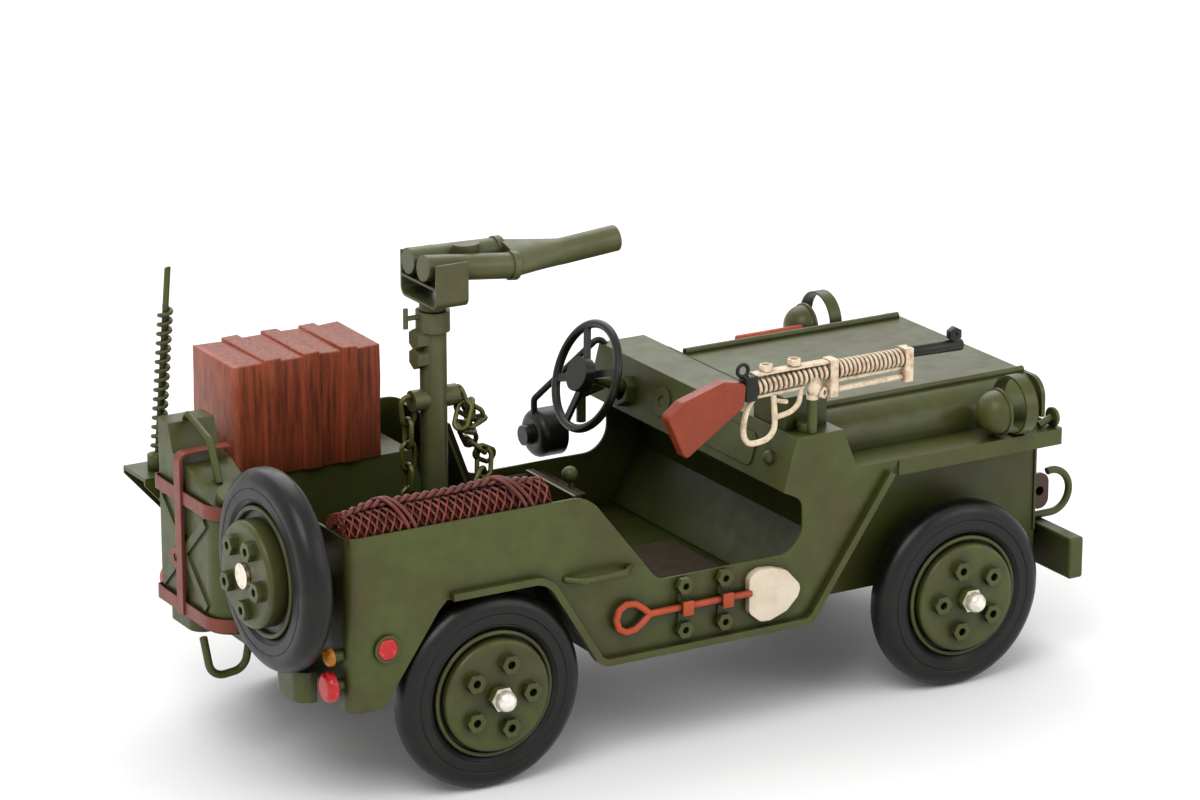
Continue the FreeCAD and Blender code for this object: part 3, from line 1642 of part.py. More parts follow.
def shovel_handle():
    grip = []
    ring_half = ring_length / 2
    lower_shares = [(along, -rise) for along, rise in reversed(ring_shares[1:-1])]
    for along_share, rise_share in ring_shares + lower_shares:
        grip.append(vec(ring_x + along_share * ring_half, -shovel_y, ring_z + rise_share * ring_height))
    ring = []
    for index, start in enumerate(grip):
        end = grip[(index + 1) % len(grip)]
        ring.append(bar(start, end, shovel_rod))
        ring.append(Part.makeSphere(shovel_rod, start))
    shaft = bar(grip[0], vec(shovel_rod_end_x, -shovel_y, ring_z), shovel_rod)
    return joined(ring + [shaft])


def shovel_blade():
    outline = []
    for along_share, rise_share in blade_shares:
        x = blade_rear_x + along_share * blade_length
        outline.append((x, blade_bottom_z + rise_share * blade_height, blade_round))
    blade = plate_xz(outline, -shovel_y - blade_sheet / 2, -tub_half - fit)
    room_start = vec(blade_rear_x - overrun, -shovel_y, ring_z)
    room_end = vec(shovel_rod_end_x + fit, -shovel_y, ring_z)
    return blade.cut(bar(room_start, room_end, shovel_rod + fit))


# Clips that hold the shovel: a bent strap over the shaft with a nut at each end
def shovel_clip(clip_x):
    low = clip_lower_z - clip_width / 2
    high = clip_upper_z + clip_width / 2
    face = -tub_half
    out = -shovel_y - shovel_rod - fit
    half = clip_width / 2
    crest = shovel_rod + fit
    outline = [
        (face, low),
        (face, ring_z - crest),
        (out, ring_z - crest),
        (out, ring_z + crest),
        (face, ring_z + crest),
        (face, high),
        (face - sheet, high),
        (face - sheet, ring_z + crest + sheet),
        (out - sheet, ring_z + crest + sheet),
        (out - sheet, ring_z - crest - sheet),
        (face - sheet, ring_z - crest - sheet),
        (face - sheet, low),
    ]
    pieces = [plate_yz(outline, clip_x - half, clip_x + half)]
    for nut_z in (clip_upper_z, clip_lower_z):
        clip_nut = nut(clip_nut_across, clip_nut_height, clip_nut_bore)
        pieces.append(placed(clip_nut, vec(clip_x, face - sheet, nut_z), vec(0, -1, 0)))
    return joined(pieces)


def side_handle():
    face = -tub_half
    out = face - grab_stand
    points = [
        vec(grab_rear_x, face, grab_z),
        vec(grab_rear_x + grab_stand, out, grab_z),
        vec(grab_front_x - grab_stand, out, grab_z),
        vec(grab_front_x, face, grab_z),
    ]
    return rod(points, grab_rod, grab_bend).cut(block(
        grab_rear_x - overrun, grab_front_x + overrun, face, face + overrun * 2, grab_z - overrun * 2,
        grab_z + overrun * 2,
    ))


# The red haft beside the hood, and the two posts that carry it on the left fender
def haft():
    return bar(vec(haft_rear_x, haft_y, haft_z), vec(haft_front_x, haft_y, haft_z), haft_rod)


def haft_posts():
    posts = []
    for post_place in (haft_rear_x + haft_post_inset, haft_front_x - haft_post_inset):
        foot = vec(post_place, haft_y, fender_top)
        posts.append(bar(foot, vec(post_place, haft_y, haft_z - haft_rod), haft_post))
    return posts


def spotlight():
    rear = vec(spot_x - spot_depth / 2, spot_y, spot_z)
    front = vec(spot_x + spot_depth / 2, spot_y, spot_z)
    case = bar(rear, front, spot_radius)
    rear_edges = [edge for edge in case.Edges if edge.BoundBox.XMax < spot_x]
    case = case.makeFillet(spot_radius * spot_round_share, rear_edges)
    ring = bar(front, front + vec(spot_rim, 0, 0), spot_radius)
    dish = bar(front, front + vec(spot_rim + overrun, 0, 0), spot_radius - spot_rim)
    knob = bar(rear - vec(spot_knob_height, 0, 0), rear, spot_knob)
    foot = vec(spot_foot_x, spot_foot_y, cowl_top)
    points = [
        vec(spot_arm_x, spot_y, spot_z + spot_radius / 2),
        vec(spot_arm_x, spot_y, spot_arm_z),
        foot + vec(0, 0, spot_foot_height),
        foot,
    ]
    arm = rod(points, spot_rod, spot_rod * 2)
    return joined([case, ring.cut(dish), knob, arm])


def save(name, *shapes):
    whole = shapes[0] if len(shapes) == 1 else Part.makeCompound(list(shapes))
    whole.translate(vec(model_shift, 0, 0))
    solids = len(whole.Solids)
    print(name, solids, "solids", round(whole.Volume), "mm3", "valid" if whole.isValid() else "INVALID")
    whole.exportStep("parts/" + name + ".step")


os.makedirs("parts", exist_ok=True)

save("tub_shell", tub_shell())
save("floor_pan", floor_pan())
save("wheel_boxes", *both_sides(wheel_box()))
save("side_strips", *both_sides(side_strip()))
save("toe_board", toe_board().cut(cowl()))
save("cowl", cowl())
save("dash_fittings", *dash_fittings())
save("hood", hood())
save("engine_bay", engine_bay().cut(Part.makeCompound(both_sides(fender()))))
save("fenders", fender(), joined([mirrored(fender()), *haft_posts()]))
save("front_bumper", front_bumper())
save("tow_hooks", front_hook(), mirrored(front_hook()), rear_hook())
save("winch_drum", winch())
save("winch_saddles", *both_sides(winch_saddle()))
save("chassis_rails", *both_sides(chassis_rail()))
save("axles", axle(front_axle_x), axle(rear_axle_x))
save("headlamps", *both_sides(headlamp()))
save("lamp_guards", *both_sides(lamp_guard()))
save("marker_lamps", *both_sides(marker_lamp().cut(fender())))
save(
    "red_lenses",
    *both_sides(tail_lens(red_z, red_radius, red_stand)),
    *both_sides(side_reflector()),
)
save("orange_lenses", *both_sides(tail_lens(orange_z, orange_radius, orange_stand)))
save(
    "lamp_bezels",
    *both_sides(reflector_bezel()),
    *both_sides(tail_stem(red_z)),
    *both_sides(tail_stem(orange_z)),
)
save(
    "rear_bumperettes",
    bumperette(right_bumperette_start, right_bumperette_end),
    bumperette(left_bumperette_start, left_bumperette_end),
)
save("jerry_can", jerry_can())
save("can_straps", can_straps())
save("can_handle", can_handle().cut(jerry_can()))
save("spare_tyre", at_spare(tyre()))
save("spare_rim", at_spare(rim(spare_lug_turn, spare_dish_radius, spare_dish_face, spare_lug_circle)))
save("spare_hub", spare_hub())
save("antenna_shelf", antenna_shelf())
save("antenna", antenna())
save("crate", crate())
save("net_roll", net_roll().cut(tub_shell()))
save("gun_post", gun_post())
save("chains", *chains())
save("gun_cradle", gun_cradle().cut(tube_room()))
save("gun_barrels", gun_barrels())
save("seat_frames", *both_sides(seat_frame()))
save("seat_pads", *seat_pads(), *[mirrored(pad) for pad in seat_pads()])
save("gear_lever", gear_lever())
save("steering_wheel", steering_wheel())
save("steering_column", steering_column().cut(dash_fittings()[0]))
save("rifle_stock", rifle_stock())
save("rifle_receiver", rifle_receiver())
save("rifle_barrel", rifle_barrel().cut(rifle_receiver()))
save("cowl_fittings", *cowl_fittings())
save("shovel_handle", shovel_handle())
save("shovel_blade", shovel_blade())
save("shovel_clips", shovel_clip(clip_rear_x), shovel_clip(clip_front_x))
save("side_handles", *both_sides(side_handle()))
save("haft", haft())
save("spotlight", spotlight())

for axle_name, axle_x, lug_turn in (
    ("front", front_axle_x, front_lug_turn),
    ("rear", rear_axle_x, rear_lug_turn),
):
    for side_name, side in (("right", -1), ("left", 1)):
        save("tyre_" + axle_name + "_" + side_name, at_wheel(tyre(), axle_x, side))
        wheel_rim = rim(lug_turn, dish_radius, dish_face, lug_circle)
        save("rim_" + axle_name + "_" + side_name, at_wheel(wheel_rim, axle_x, side))
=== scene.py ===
import bpy
import math
from mathutils import Matrix, Vector


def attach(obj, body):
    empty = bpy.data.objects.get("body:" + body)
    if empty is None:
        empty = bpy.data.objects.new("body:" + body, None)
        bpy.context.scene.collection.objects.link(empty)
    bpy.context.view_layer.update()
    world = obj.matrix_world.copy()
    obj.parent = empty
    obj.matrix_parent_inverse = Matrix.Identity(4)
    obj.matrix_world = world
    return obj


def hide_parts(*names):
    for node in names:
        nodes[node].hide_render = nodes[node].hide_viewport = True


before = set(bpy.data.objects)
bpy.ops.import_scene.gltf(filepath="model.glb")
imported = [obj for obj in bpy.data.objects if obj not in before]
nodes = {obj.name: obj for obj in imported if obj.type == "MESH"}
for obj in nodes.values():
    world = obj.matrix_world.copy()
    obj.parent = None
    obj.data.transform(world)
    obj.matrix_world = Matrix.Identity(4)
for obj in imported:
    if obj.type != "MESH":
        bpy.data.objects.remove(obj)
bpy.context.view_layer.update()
mm = 0.001
hair = 0.01 * mm  # places nearer than this count as one
square = 0.9  # a face whose normal has more than this along an axis faces that way
middle = 6.575  # the axles' middle lies this far in front of the frame's origin
print("frame loaded,", len(nodes), "nodes")


# A place in the maker's own measures, in millimetres from the middle between the axles
def spot(x, y, z):
    return Vector(((x + middle) * mm, y * mm, z * mm))


def editMode():
    bpy.ops.object.mode_set(mode="EDIT")


def objectMode():
    bpy.ops.object.mode_set(mode="OBJECT")


def clearAll():
    bpy.ops.object.select_all(action="DESELECT")


def take(piece):
    clearAll()
    piece.select_set(True)
    bpy.context.view_layer.objects.active = piece


# In edit mode, picks the faces, edges or vertices that pass a test
def pick(kind, test):
    mesh = bpy.context.object.data
    modes = {"polygons": "FACE", "edges": "EDGE", "vertices": "VERT"}
    bpy.ops.mesh.select_mode(type=modes[kind])
    bpy.ops.mesh.select_all(action="DESELECT")
    objectMode()
    for part in getattr(mesh, kind):
        part.select = test(part)
    editMode()


def edgeEnds(edge):
    points = bpy.context.object.data.vertices
    return points[edge.vertices[0]].co, points[edge.vertices[1]].co


def modify(kind, **settings):
    piece = bpy.context.object
    modifier = piece.modifiers.new(kind.lower(), kind)
    for name, value in settings.items():
        setattr(modifier, name, value)
    bpy.ops.object.modifier_apply(modifier=modifier.name)


def applyPlace():
    bpy.ops.object.transform_apply(location=True, rotation=True, scale=True)


# A box of a size in millimetres, about the origin
def addBox(size):
    clearAll()
    bpy.ops.mesh.primitive_cube_add(size=1, scale=[side * mm for side in size])
    applyPlace()
    return bpy.context.object


# Sets the faces that pass a test in and out again, by steps of thickness and depth in millimetres
def insetFaces(test, *steps):
    editMode()
    pick("polygons", test)
    for thickness, depth in steps:
        bpy.ops.mesh.inset(thickness=thickness * mm, depth=depth * mm)
    objectMode()


# Rounds the edges sharper than an angle, by a width in millimetres
def roundEdges(width, segments, angle):
    limit = math.radians(angle)
    modify("BEVEL", width=width * mm, segments=segments, limit_method="ANGLE", angle_limit=limit)


def joinAll(pieces):
    clearAll()
    for piece in pieces:
        piece.select_set(True)
    bpy.context.view_layer.objects.active = pieces[0]
    if len(pieces) > 1:
        bpy.ops.object.join()


# A copy with its own mesh, moved in the mesh
def copyOf(piece, matrix):
    copy = piece.copy()
    copy.data = piece.data.copy()
    bpy.context.scene.collection.objects.link(copy)
    copy.data.transform(matrix)
    return copy


# Stands a piece made along Z on a place, along a way
def standing(place, way, turn=0.0):
    lie = way.to_track_quat("Z", "Y").to_matrix().to_4x4()
    return Matrix.Translation(place) @ lie @ Matrix.Rotation(math.radians(turn), 4, "Z")


def discard(piece):
    bpy.data.objects.remove(piece, do_unlink=True)


def keepPiece(name, finish, body="car", instead=(), angle=35):
    piece = bpy.context.object
    piece.name = name
    piece.data.name = name
    applyPlace()
    bpy.ops.object.shade_smooth_by_angle(angle=math.radians(angle))
    piece.data.materials.clear()
    piece.data.materials.append(finish)
    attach(piece, body)
    if instead:
        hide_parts(*instead)


# A wire or rod bent through points, drawn out by a curve and turned to a mesh
def bentRod(points, radius, closed=False, rings=3, steps=6, order=3):
    clearAll()
    bpy.ops.curve.primitive_nurbs_path_add()
    rod = bpy.context.object
    curve = rod.data
    curve.splines.clear()
    spline = curve.splines.new("NURBS")
    spline.points.add(len(points) - 1)
    for point, place in zip(spline.points, points):
        point.co = (place.x, place.y, place.z, 1)
    spline.use_endpoint_u = not closed
    spline.use_cyclic_u = closed
    spline.order_u = order
    curve.dimensions = "3D"
    curve.bevel_depth = radius
    curve.bevel_resolution = rings
    curve.resolution_u = steps
    curve.use_fill_caps = not closed
    bpy.ops.object.convert(target="MESH")
    return bpy.context.object


# A coil of round wire about Z from the floor up, its ends closed
def woundCoil(radius, wire, pitch, turns, sides=8, steps=18):
    clearAll()
    bpy.ops.mesh.primitive_circle_add(
        vertices=sides, radius=wire, location=(radius, 0, 0), rotation=(math.pi / 2, 0, 0)
    )
    applyPlace()
    modify("SCREW", angle=2 * math.pi, screw_offset=pitch, iterations=turns, steps=steps, render_steps=steps,
           use_normal_calculate=True, use_smooth_shade=True)
    editMode()
    bpy.ops.mesh.select_all(action="SELECT")
    bpy.ops.mesh.fill_holes(sides=0)
    bpy.ops.mesh.normals_make_consistent(inside=False)
    objectMode()
    return bpy.context.object


# A rod's ends are rounded by a share of its radius, up to a most, and a nut's edges by a width
rounding = {"share": 0.3, "most": 0.3, "nut": 0.18}


def rodBetween(start, end, radius, sides=20):
    clearAll()
    way = end - start
    bpy.ops.mesh.primitive_cylinder_add(vertices=sides, radius=radius * mm, depth=way.length)
    rod = bpy.context.object
    roundEdges(min(radius * rounding["share"], rounding["most"]), segments=2, angle=50)
    rod.data.transform(standing((start + end) / 2, way))
    return rod


# A hexagon nut with its round hole cut through
def hexNut(across, height, hole):
    clearAll()
    bpy.ops.mesh.primitive_cylinder_add(vertices=6, radius=across * mm / math.sqrt(3), depth=height * mm)
    nut = bpy.context.object
    roundEdges(rounding["nut"], segments=2, angle=30)
    bpy.ops.mesh.primitive_cylinder_add(vertices=20, radius=hole * mm, depth=height * 2 * mm)
    drill = bpy.context.object
    take(nut)
    modify("BOOLEAN", object=drill, operation="DIFFERENCE", solver="EXACT")
    discard(drill)
    return nut


# A hex colour as it is seen, turned to the linear values that the nodes use
def hexColour(text):
    channels = [int(text[i:i + 2], 16) / 255 for i in (1, 3, 5)]
    return [c / 12.92 if c <= 0.04045 else ((c + 0.055) / 1.055) ** 2.4 for c in channels] + [1]


# Adds a node: each setting is a property, a socket's value or, from another node's output, a link
def addNode(tree, kind, settings):
    node = tree.nodes.new(kind)
    for name, value in settings.items():
        if isinstance(name, str) and name not in node.inputs:
            setattr(node, name, value)
        elif isinstance(value, bpy.types.NodeSocket):
            tree.links.new(value, node.inputs[name])
        else:
            node.inputs[name].default_value = value
    return node


def newMaterial(name, sockets):
    material = bpy.data.materials.new(name)
    material.use_nodes = True
    tree = material.node_tree
    shader = tree.nodes["Principled BSDF"]
    for socket, value in sockets.items():
        shader.inputs[socket].default_value = value
    place = addNode(tree, "ShaderNodeTexCoord", {}).outputs["Object"]
    return material, tree, shader, place


def linkShader(tree, shader, sources):
    for socket, source in sources.items():
        tree.links.new(source, shader.inputs[socket])


# Lays colours over a first one, each by its share; a colour is hex text or another node's output.
# A mix node's colours are its sockets 6 and 7 and its output 2
def layered(tree, first, *layers):
    colour = hexColour(first) if isinstance(first, str) else first
    for share, over in layers:
        over = hexColour(over) if isinstance(over, str) else over
        mix = addNode(tree, "ShaderNodeMix", {"data_type": "RGBA", 0: share, 6: colour, 7: over})
        colour = mix.outputs[2]
    return colour


# Spots about as large as a real size in metres, drawn out along an axis where its stretch is small
def spots(tree, place, size, detail, roughness=0.5, stretch=(1, 1, 1)):
    mapped = addNode(tree, "ShaderNodeMapping", {"Vector": place, "Scale": [s / size for s in stretch]})
    texture = addNode(tree, "ShaderNodeTexNoise", {
        "Vector": mapped.outputs["Vector"], "Scale": 1.0, "Detail": detail, "Roughness": roughness,
    })
    return texture.outputs["Fac"]


# How much of a finish shows in each spot, from the least below the low level to the full share
def cloudy(tree, place, low, high, share=1.0, least=0.0, **pattern):
    return addNode(tree, "ShaderNodeMapRange", {
        "Value": spots(tree, place, **pattern),
        "From Min": low, "From Max": high, "To Min": least, "To Max": share,
    }).outputs["Result"]


# How much of a colour lies where less than the high level of the sky is seen within the reach: painted shade
# in most finishes, rust in the cream one
def inHollows(tree, reach, low, high, share, samples=2):
    sky = addNode(tree, "ShaderNodeAmbientOcclusion", {"samples": samples, "Distance": reach})
    return addNode(tree, "ShaderNodeMapRange", {
        "Value": sky.outputs["AO"], "From Min": low, "From Max": high, "To Min": share, "To Max": 0.0,
    }).outputs["Result"]


# How much shows on the edges, where a rounded normal turns from the flat one, and that rounded normal: the
# enamels show rubbed-off paint there, the boards a painted highlight
def onEdges(tree, radius, flat, sharp, share):
    rounded = addNode(tree, "ShaderNodeBevel", {"samples": 3, "Radius": radius}).outputs["Normal"]
    plain = addNode(tree, "ShaderNodeNewGeometry", {}).outputs["Normal"]
    facing = addNode(tree, "ShaderNodeVectorMath", {"operation": "DOT_PRODUCT", 0: rounded, 1: plain})
    rubbedAndLit = addNode(tree, "ShaderNodeMapRange", {
        "Value": facing.outputs["Value"], "From Min": flat, "From Max": sharp, "To Min": 0.0, "To Max": share,
    })
    return rubbedAndLit.outputs["Result"], rounded


# A normal with fine dents in it, laid over another normal where there is one
def dented(tree, place, strength, depth, normal=None, **pattern):
    settings = {"Strength": strength, "Distance": depth, "Height": spots(tree, place, **pattern)}
    if normal:
        settings["Normal"] = normal
    return addNode(tree, "ShaderNodeBump", settings).outputs["Normal"]


# Hand-sprayed enamel on sheet steel: browned in cloudy patches, darkened by painted shade in each corner and
# round fittings, where some dark patina lies too, paler where an edge was rubbed, painted shade nearly black
# far inside, a dusty satin skin
enamel = {
    "ior": 1.36, "glossy": 0.30, "dull": 0.45, "inside": "#0d0c05",
    "patches": dict(size=30 * mm, detail=3, low=0.42, high=0.64),
    "streaks": dict(size=6 * mm, detail=4, roughness=0.6, low=0.38, high=0.78, share=0.3),
    # Painted shade: the deep colour laid where little sky is seen close by, in each corner and round fittings
    "corners": dict(reach=5 * mm, low=0.3, high=0.9),
    "edges": dict(radius=0.45 * mm, flat=0.97, sharp=0.8),
    # Painted shade: the inside colour laid where little sky is seen far off, inside the tub and under the
    # fenders
    "room": dict(reach=120 * mm, low=0.16, high=0.46),
    "dents": dict(size=0.8 * mm, detail=2, strength=0.06, depth=0.2 * mm),
}


def enamelPaint(name, clean, wornAndLit, deep, pale, wornShare=0.7, gloss=0.0,
                metallic=0.0, edgeShare=0.5, cornerShadeShare=0.85, roomShare=0.9, ior=enamel["ior"]):
    material, tree, shader, place = newMaterial(name, {"Metallic": metallic, "IOR": ior})
    patches = cloudy(tree, place, share=wornShare, **enamel["patches"])
    streaks = cloudy(tree, place, **enamel["streaks"])
    # Painted shade in each corner and round fittings, from the deep colour
    corners = inHollows(tree, share=cornerShadeShare, **enamel["corners"])
    edges, rounded = onEdges(tree, share=edgeShare, **enamel["edges"])
    # Painted shade, nearly black, far inside the car
    room = inHollows(tree, share=roomShare, **enamel["room"])
    sheen = addNode(tree, "ShaderNodeMapRange", {
        "Value": streaks, "From Max": enamel["streaks"]["share"],
        "To Min": enamel["glossy"] - gloss, "To Max": enamel["dull"] - gloss,
    })
    linkShader(tree, shader, {
        "Base Color": layered(tree, clean, (patches, wornAndLit), (streaks, deep), (corners, deep), (edges, pale),
                              (room, enamel["inside"])),
        "Roughness": sheen.outputs["Result"],
        "Normal": dented(tree, place, normal=rounded, **enamel["dents"]),
    })
    return material


# Moulded rubber, near black and satin, with chalky scuffs where it has rolled and rubbed
rubberLook = {
    "ior": 1.36, "black": "#0c0d0a", "dusty": "#1f1f18", "scuffed": "#63655c",
    "dust": dict(size=12 * mm, detail=5, roughness=0.65, low=0.5, high=0.75, share=0.6),
    "scuffs": dict(size=3.2 * mm, detail=6, roughness=0.75, low=0.68, high=0.78, share=0.5),
    "sheen": dict(size=5 * mm, detail=4, low=0.3, high=0.7, least=0.28, share=0.42),
    "dents": dict(size=0.7 * mm, detail=2, strength=0.08, depth=0.2 * mm),
}


def mouldedRubber():
    look = rubberLook
    material, tree, shader, place = newMaterial("mouldedRubber", {"IOR": look["ior"]})
    dust = cloudy(tree, place, **look["dust"])
    scuffs = cloudy(tree, place, **look["scuffs"])
    linkShader(tree, shader, {
        "Base Color": layered(tree, look["black"], (dust, look["dusty"]), (scuffs, look["scuffed"])),
        "Roughness": cloudy(tree, place, **look["sheen"]),
        "Normal": dented(tree, place, **look["dents"]),
    })
    return material


# Cast plastic lenses under thick clear lacquer, cloudy where it pooled
lensLook = {
    "ior": 1.36, "roughness": 0.22, "lacquer": 0.15,
    "pools": dict(size=2.2 * mm, detail=4, roughness=0.6, low=0.52, high=0.78, share=0.7),
    "dents": dict(size=1.6 * mm, detail=3, strength=0.25, depth=0.2 * mm),
}


def castLens(name, body, light):
    look = lensLook
    material, tree, shader, place = newMaterial(name, {
        "Roughness": look["roughness"], "IOR": look["ior"], "Coat Weight": look["lacquer"],
    })
    linkShader(tree, shader, {
        "Base Color": layered(tree, body, (cloudy(tree, place, **look["pools"]), light)),
        "Normal": dented(tree, place, **look["dents"]),
    })
    return material


# Nickel on the cap nuts, warm and a little tarnished
nickelLook = {
    "bright": "#ece0d0", "tarnished": "#c9b39f",
    "tarnish": dict(size=2.4 * mm, detail=5, roughness=0.7, low=0.5, high=0.72),
    "sheen": dict(size=1.2 * mm, detail=3, low=0.3, high=0.7, least=0.18, share=0.4),
}


def tarnishedNickel():
    look = nickelLook
    material, tree, shader, place = newMaterial("tarnishedNickel", {"Metallic": 1})
    tarnish = cloudy(tree, place, **look["tarnish"])
    linkShader(tree, shader, {
        "Base Color": layered(tree, look["bright"], (tarnish, look["tarnished"])),
        "Roughness": cloudy(tree, place, **look["sheen"]),
    })
    return material


# Axle ends: the dome is pearly bare metal, the nut behind it is painted olive with the rim, darkened by
# painted shade in its hollows
axleEndLook = {
    "nutEnds": 67.2 * mm, "domeStarts": 67.4 * mm, "roughness": 0.24, "metallic": 0.55,
    "pearl": "#efe7da", "clouded": "#cfc1ae", "olive": "#4a5022", "deep": "#1a190b",
    "clouds": dict(size=2.6 * mm, detail=4, roughness=0.6, low=0.5, high=0.7),
    "hollows": dict(reach=3 * mm, low=0.3, high=0.9, share=0.9),
}


def pearlEnds():
    look = axleEndLook
    material, tree, shader, place = newMaterial("pearlEnds", {"Roughness": look["roughness"]})
    along = addNode(tree, "ShaderNodeSeparateXYZ", {"Vector": place}).outputs["Y"]
    apart = addNode(tree, "ShaderNodeMath", {"operation": "ABSOLUTE", 0: along}).outputs[0]
    bare = addNode(tree, "ShaderNodeMapRange", {
        "Value": apart, "From Min": look["nutEnds"], "From Max": look["domeStarts"],
    }).outputs["Result"]
    pearl = layered(tree, look["pearl"], (cloudy(tree, place, **look["clouds"]), look["clouded"]))
    # The olive nut takes the deep colour as painted shade in its hollows
    olive = layered(tree, look["olive"], (inHollows(tree, **look["hollows"]), look["deep"]))
    metal = addNode(tree, "ShaderNodeMapRange", {"Value": bare, "To Max": look["metallic"]})
    linkShader(tree, shader, {
        "Base Color": layered(tree, olive, (bare, pearl)), "Metallic": metal.outputs["Result"],
    })
    return material


# Cream brushed over rust: the cream stays on the crowns of the wire, brown lies between the turns
creamLook = {
    "roughness": 0.4, "cream": "#dccbae", "thin": "#a87048", "rust": "#3d1c0d",
    "washed": dict(size=2.6 * mm, detail=5, roughness=0.7, low=0.46, high=0.7, share=0.8),
    "hollows": dict(reach=1.6 * mm, low=0.3, high=0.85, share=1.0, samples=3),
    "dents": dict(size=0.9 * mm, detail=4, strength=0.3, depth=0.15 * mm),
}


def creamOverRust():
    look = creamLook
    material, tree, shader, place = newMaterial("creamOverRust", {"Roughness": look["roughness"]})
    washed = cloudy(tree, place, **look["washed"])
    hollows = inHollows(tree, **look["hollows"])
    linkShader(tree, shader, {
        "Base Color": layered(tree, look["cream"], (washed, look["thin"]), (hollows, look["rust"])),
        "Normal": dented(tree, place, **look["dents"]),
    })
    return material


# Net wire sprayed red-brown from above, still olive underneath, and painted shade nearly black inside the
# roll
netLook = {
    "roughness": 0.38, "oliveUpTo": 82.5 * mm, "redFrom": 87.5 * mm,
    "red": "#9a5143", "darkRed": "#642e24", "olive": "#3a3f18", "darkOlive": "#171808", "inside": "#120805",
    "redClouds": dict(size=3 * mm, detail=4, roughness=0.7, low=0.35, high=0.7),
    "oliveClouds": dict(size=4 * mm, detail=3, low=0.4, high=0.7),
    "hollows": dict(reach=2.5 * mm, low=0.3, high=0.72, share=0.96, samples=3),
}


def sprayedNetWire():
    look = netLook
    material, tree, shader, place = newMaterial("sprayedNetWire", {"Roughness": look["roughness"]})
    height = addNode(tree, "ShaderNodeSeparateXYZ", {"Vector": place}).outputs["Z"]
    sprayed = addNode(tree, "ShaderNodeMapRange", {
        "Value": height, "From Min": look["oliveUpTo"], "From Max": look["redFrom"],
    }).outputs["Result"]
    red = layered(tree, look["red"], (cloudy(tree, place, **look["redClouds"]), look["darkRed"]))
    olive = layered(tree, look["olive"], (cloudy(tree, place, **look["oliveClouds"]), look["darkOlive"]))
    # Painted shade: the inside colour where the wire lies deep in the roll
    hollows = inHollows(tree, **look["hollows"])
    linkShader(tree, shader, {"Base Color": layered(tree, olive, (sprayed, red), (hollows, look["inside"]))})
    return material


# Boards brushed in red-brown: streaks run up and down, a painted highlight in rust-orange along the edges,
# the rear end paler in patches as painted light, nearly black-brown towards the bottom
boardsLook = {
    "ior": 1.36, "roughness": 0.42, "brushed": "#96452a", "streaked": "#5c2c18", "low": "#3f1c0d",
    "wornAndLit": "#a65c42", "rubbedAndLit": "#c05c38", "bottom": 78 * mm, "top": 112 * mm, "lowShare": 0.62,
    "rearEnd": -118.6 * mm, "rearFade": 1.2 * mm, "rearLightShare": 0.8,
    "streaks": dict(size=1.6 * mm, detail=5, roughness=0.7, stretch=(1, 1, 0.07), low=0.4, high=0.62),
    "rearLightPatches": dict(size=5 * mm, detail=5, roughness=0.7, stretch=(1, 1, 0.4), low=0.42, high=0.6, least=0.3),
    "edges": dict(radius=0.9 * mm, flat=0.985, sharp=0.86, share=0.8),
    "dents": dict(size=1.6 * mm, detail=4, roughness=0.6, stretch=(1, 1, 0.07),
                  strength=0.25, depth=0.3 * mm),
}


def brushedBoards():
    look = boardsLook
    material, tree, shader, place = newMaterial("brushedBoards", {
        "Roughness": look["roughness"], "IOR": look["ior"],
    })
    parts = addNode(tree, "ShaderNodeSeparateXYZ", {"Vector": place})
    streaks = cloudy(tree, place, **look["streaks"])
    low = addNode(tree, "ShaderNodeMapRange", {
        "Value": parts.outputs["Z"], "From Min": look["bottom"], "From Max": look["top"],
        "To Min": look["lowShare"], "To Max": 0.0,
    }).outputs["Result"]
    # The rear end paler in patches: painted light on the end that faces the light
    rear = addNode(tree, "ShaderNodeMapRange", {
        "Value": parts.outputs["X"],
        "From Min": look["rearEnd"], "From Max": look["rearEnd"] + look["rearFade"],
        "To Min": look["rearLightShare"], "To Max": 0.0,
    }).outputs["Result"]
    rearLightPatches = cloudy(tree, place, **look["rearLightPatches"])
    wornAndLit = addNode(tree, "ShaderNodeMath", {"operation": "MULTIPLY", 0: rear, 1: rearLightPatches}).outputs[0]
    # The edges in rust-orange: a painted highlight
    edges, rounded = onEdges(tree, **look["edges"])
    linkShader(tree, shader, {
        "Base Color": layered(tree, look["brushed"], (streaks, look["streaked"]), (low, look["low"]),
                              (wornAndLit, look["wornAndLit"]), (edges, look["rubbedAndLit"])),
        "Normal": dented(tree, place, normal=rounded, **look["dents"]),
    })
    return material


# Each enamel's clean, worn, deep and pale colours; the deep one is also laid as painted shade in each corner.
# The chains' paint is thin over bright metal, the seat pads' is matt, and the shovel's blade is cream,
# browned by painted shade in each corner
oliveEnamel = enamelPaint("oliveEnamel", "#474f20", "#453d1c", "#1d1f0b", "#66702f")
# The rims take the full painted shade in each corner
oliveRim = enamelPaint("oliveRim", "#4b5224", "#40361b", "#14130a", "#6a7434",
                       wornShare=0.6, cornerShadeShare=1.0)
oliveGun = enamelPaint("oliveGun", "#555838", "#4f4a2b", "#26260f", "#747852")
oliveChain = enamelPaint("oliveChain", "#5b5f2a", "#574722", "#191806", "#a39d62",
                         wornShare=0.6, gloss=0.14, metallic=0.35, edgeShare=0.8)
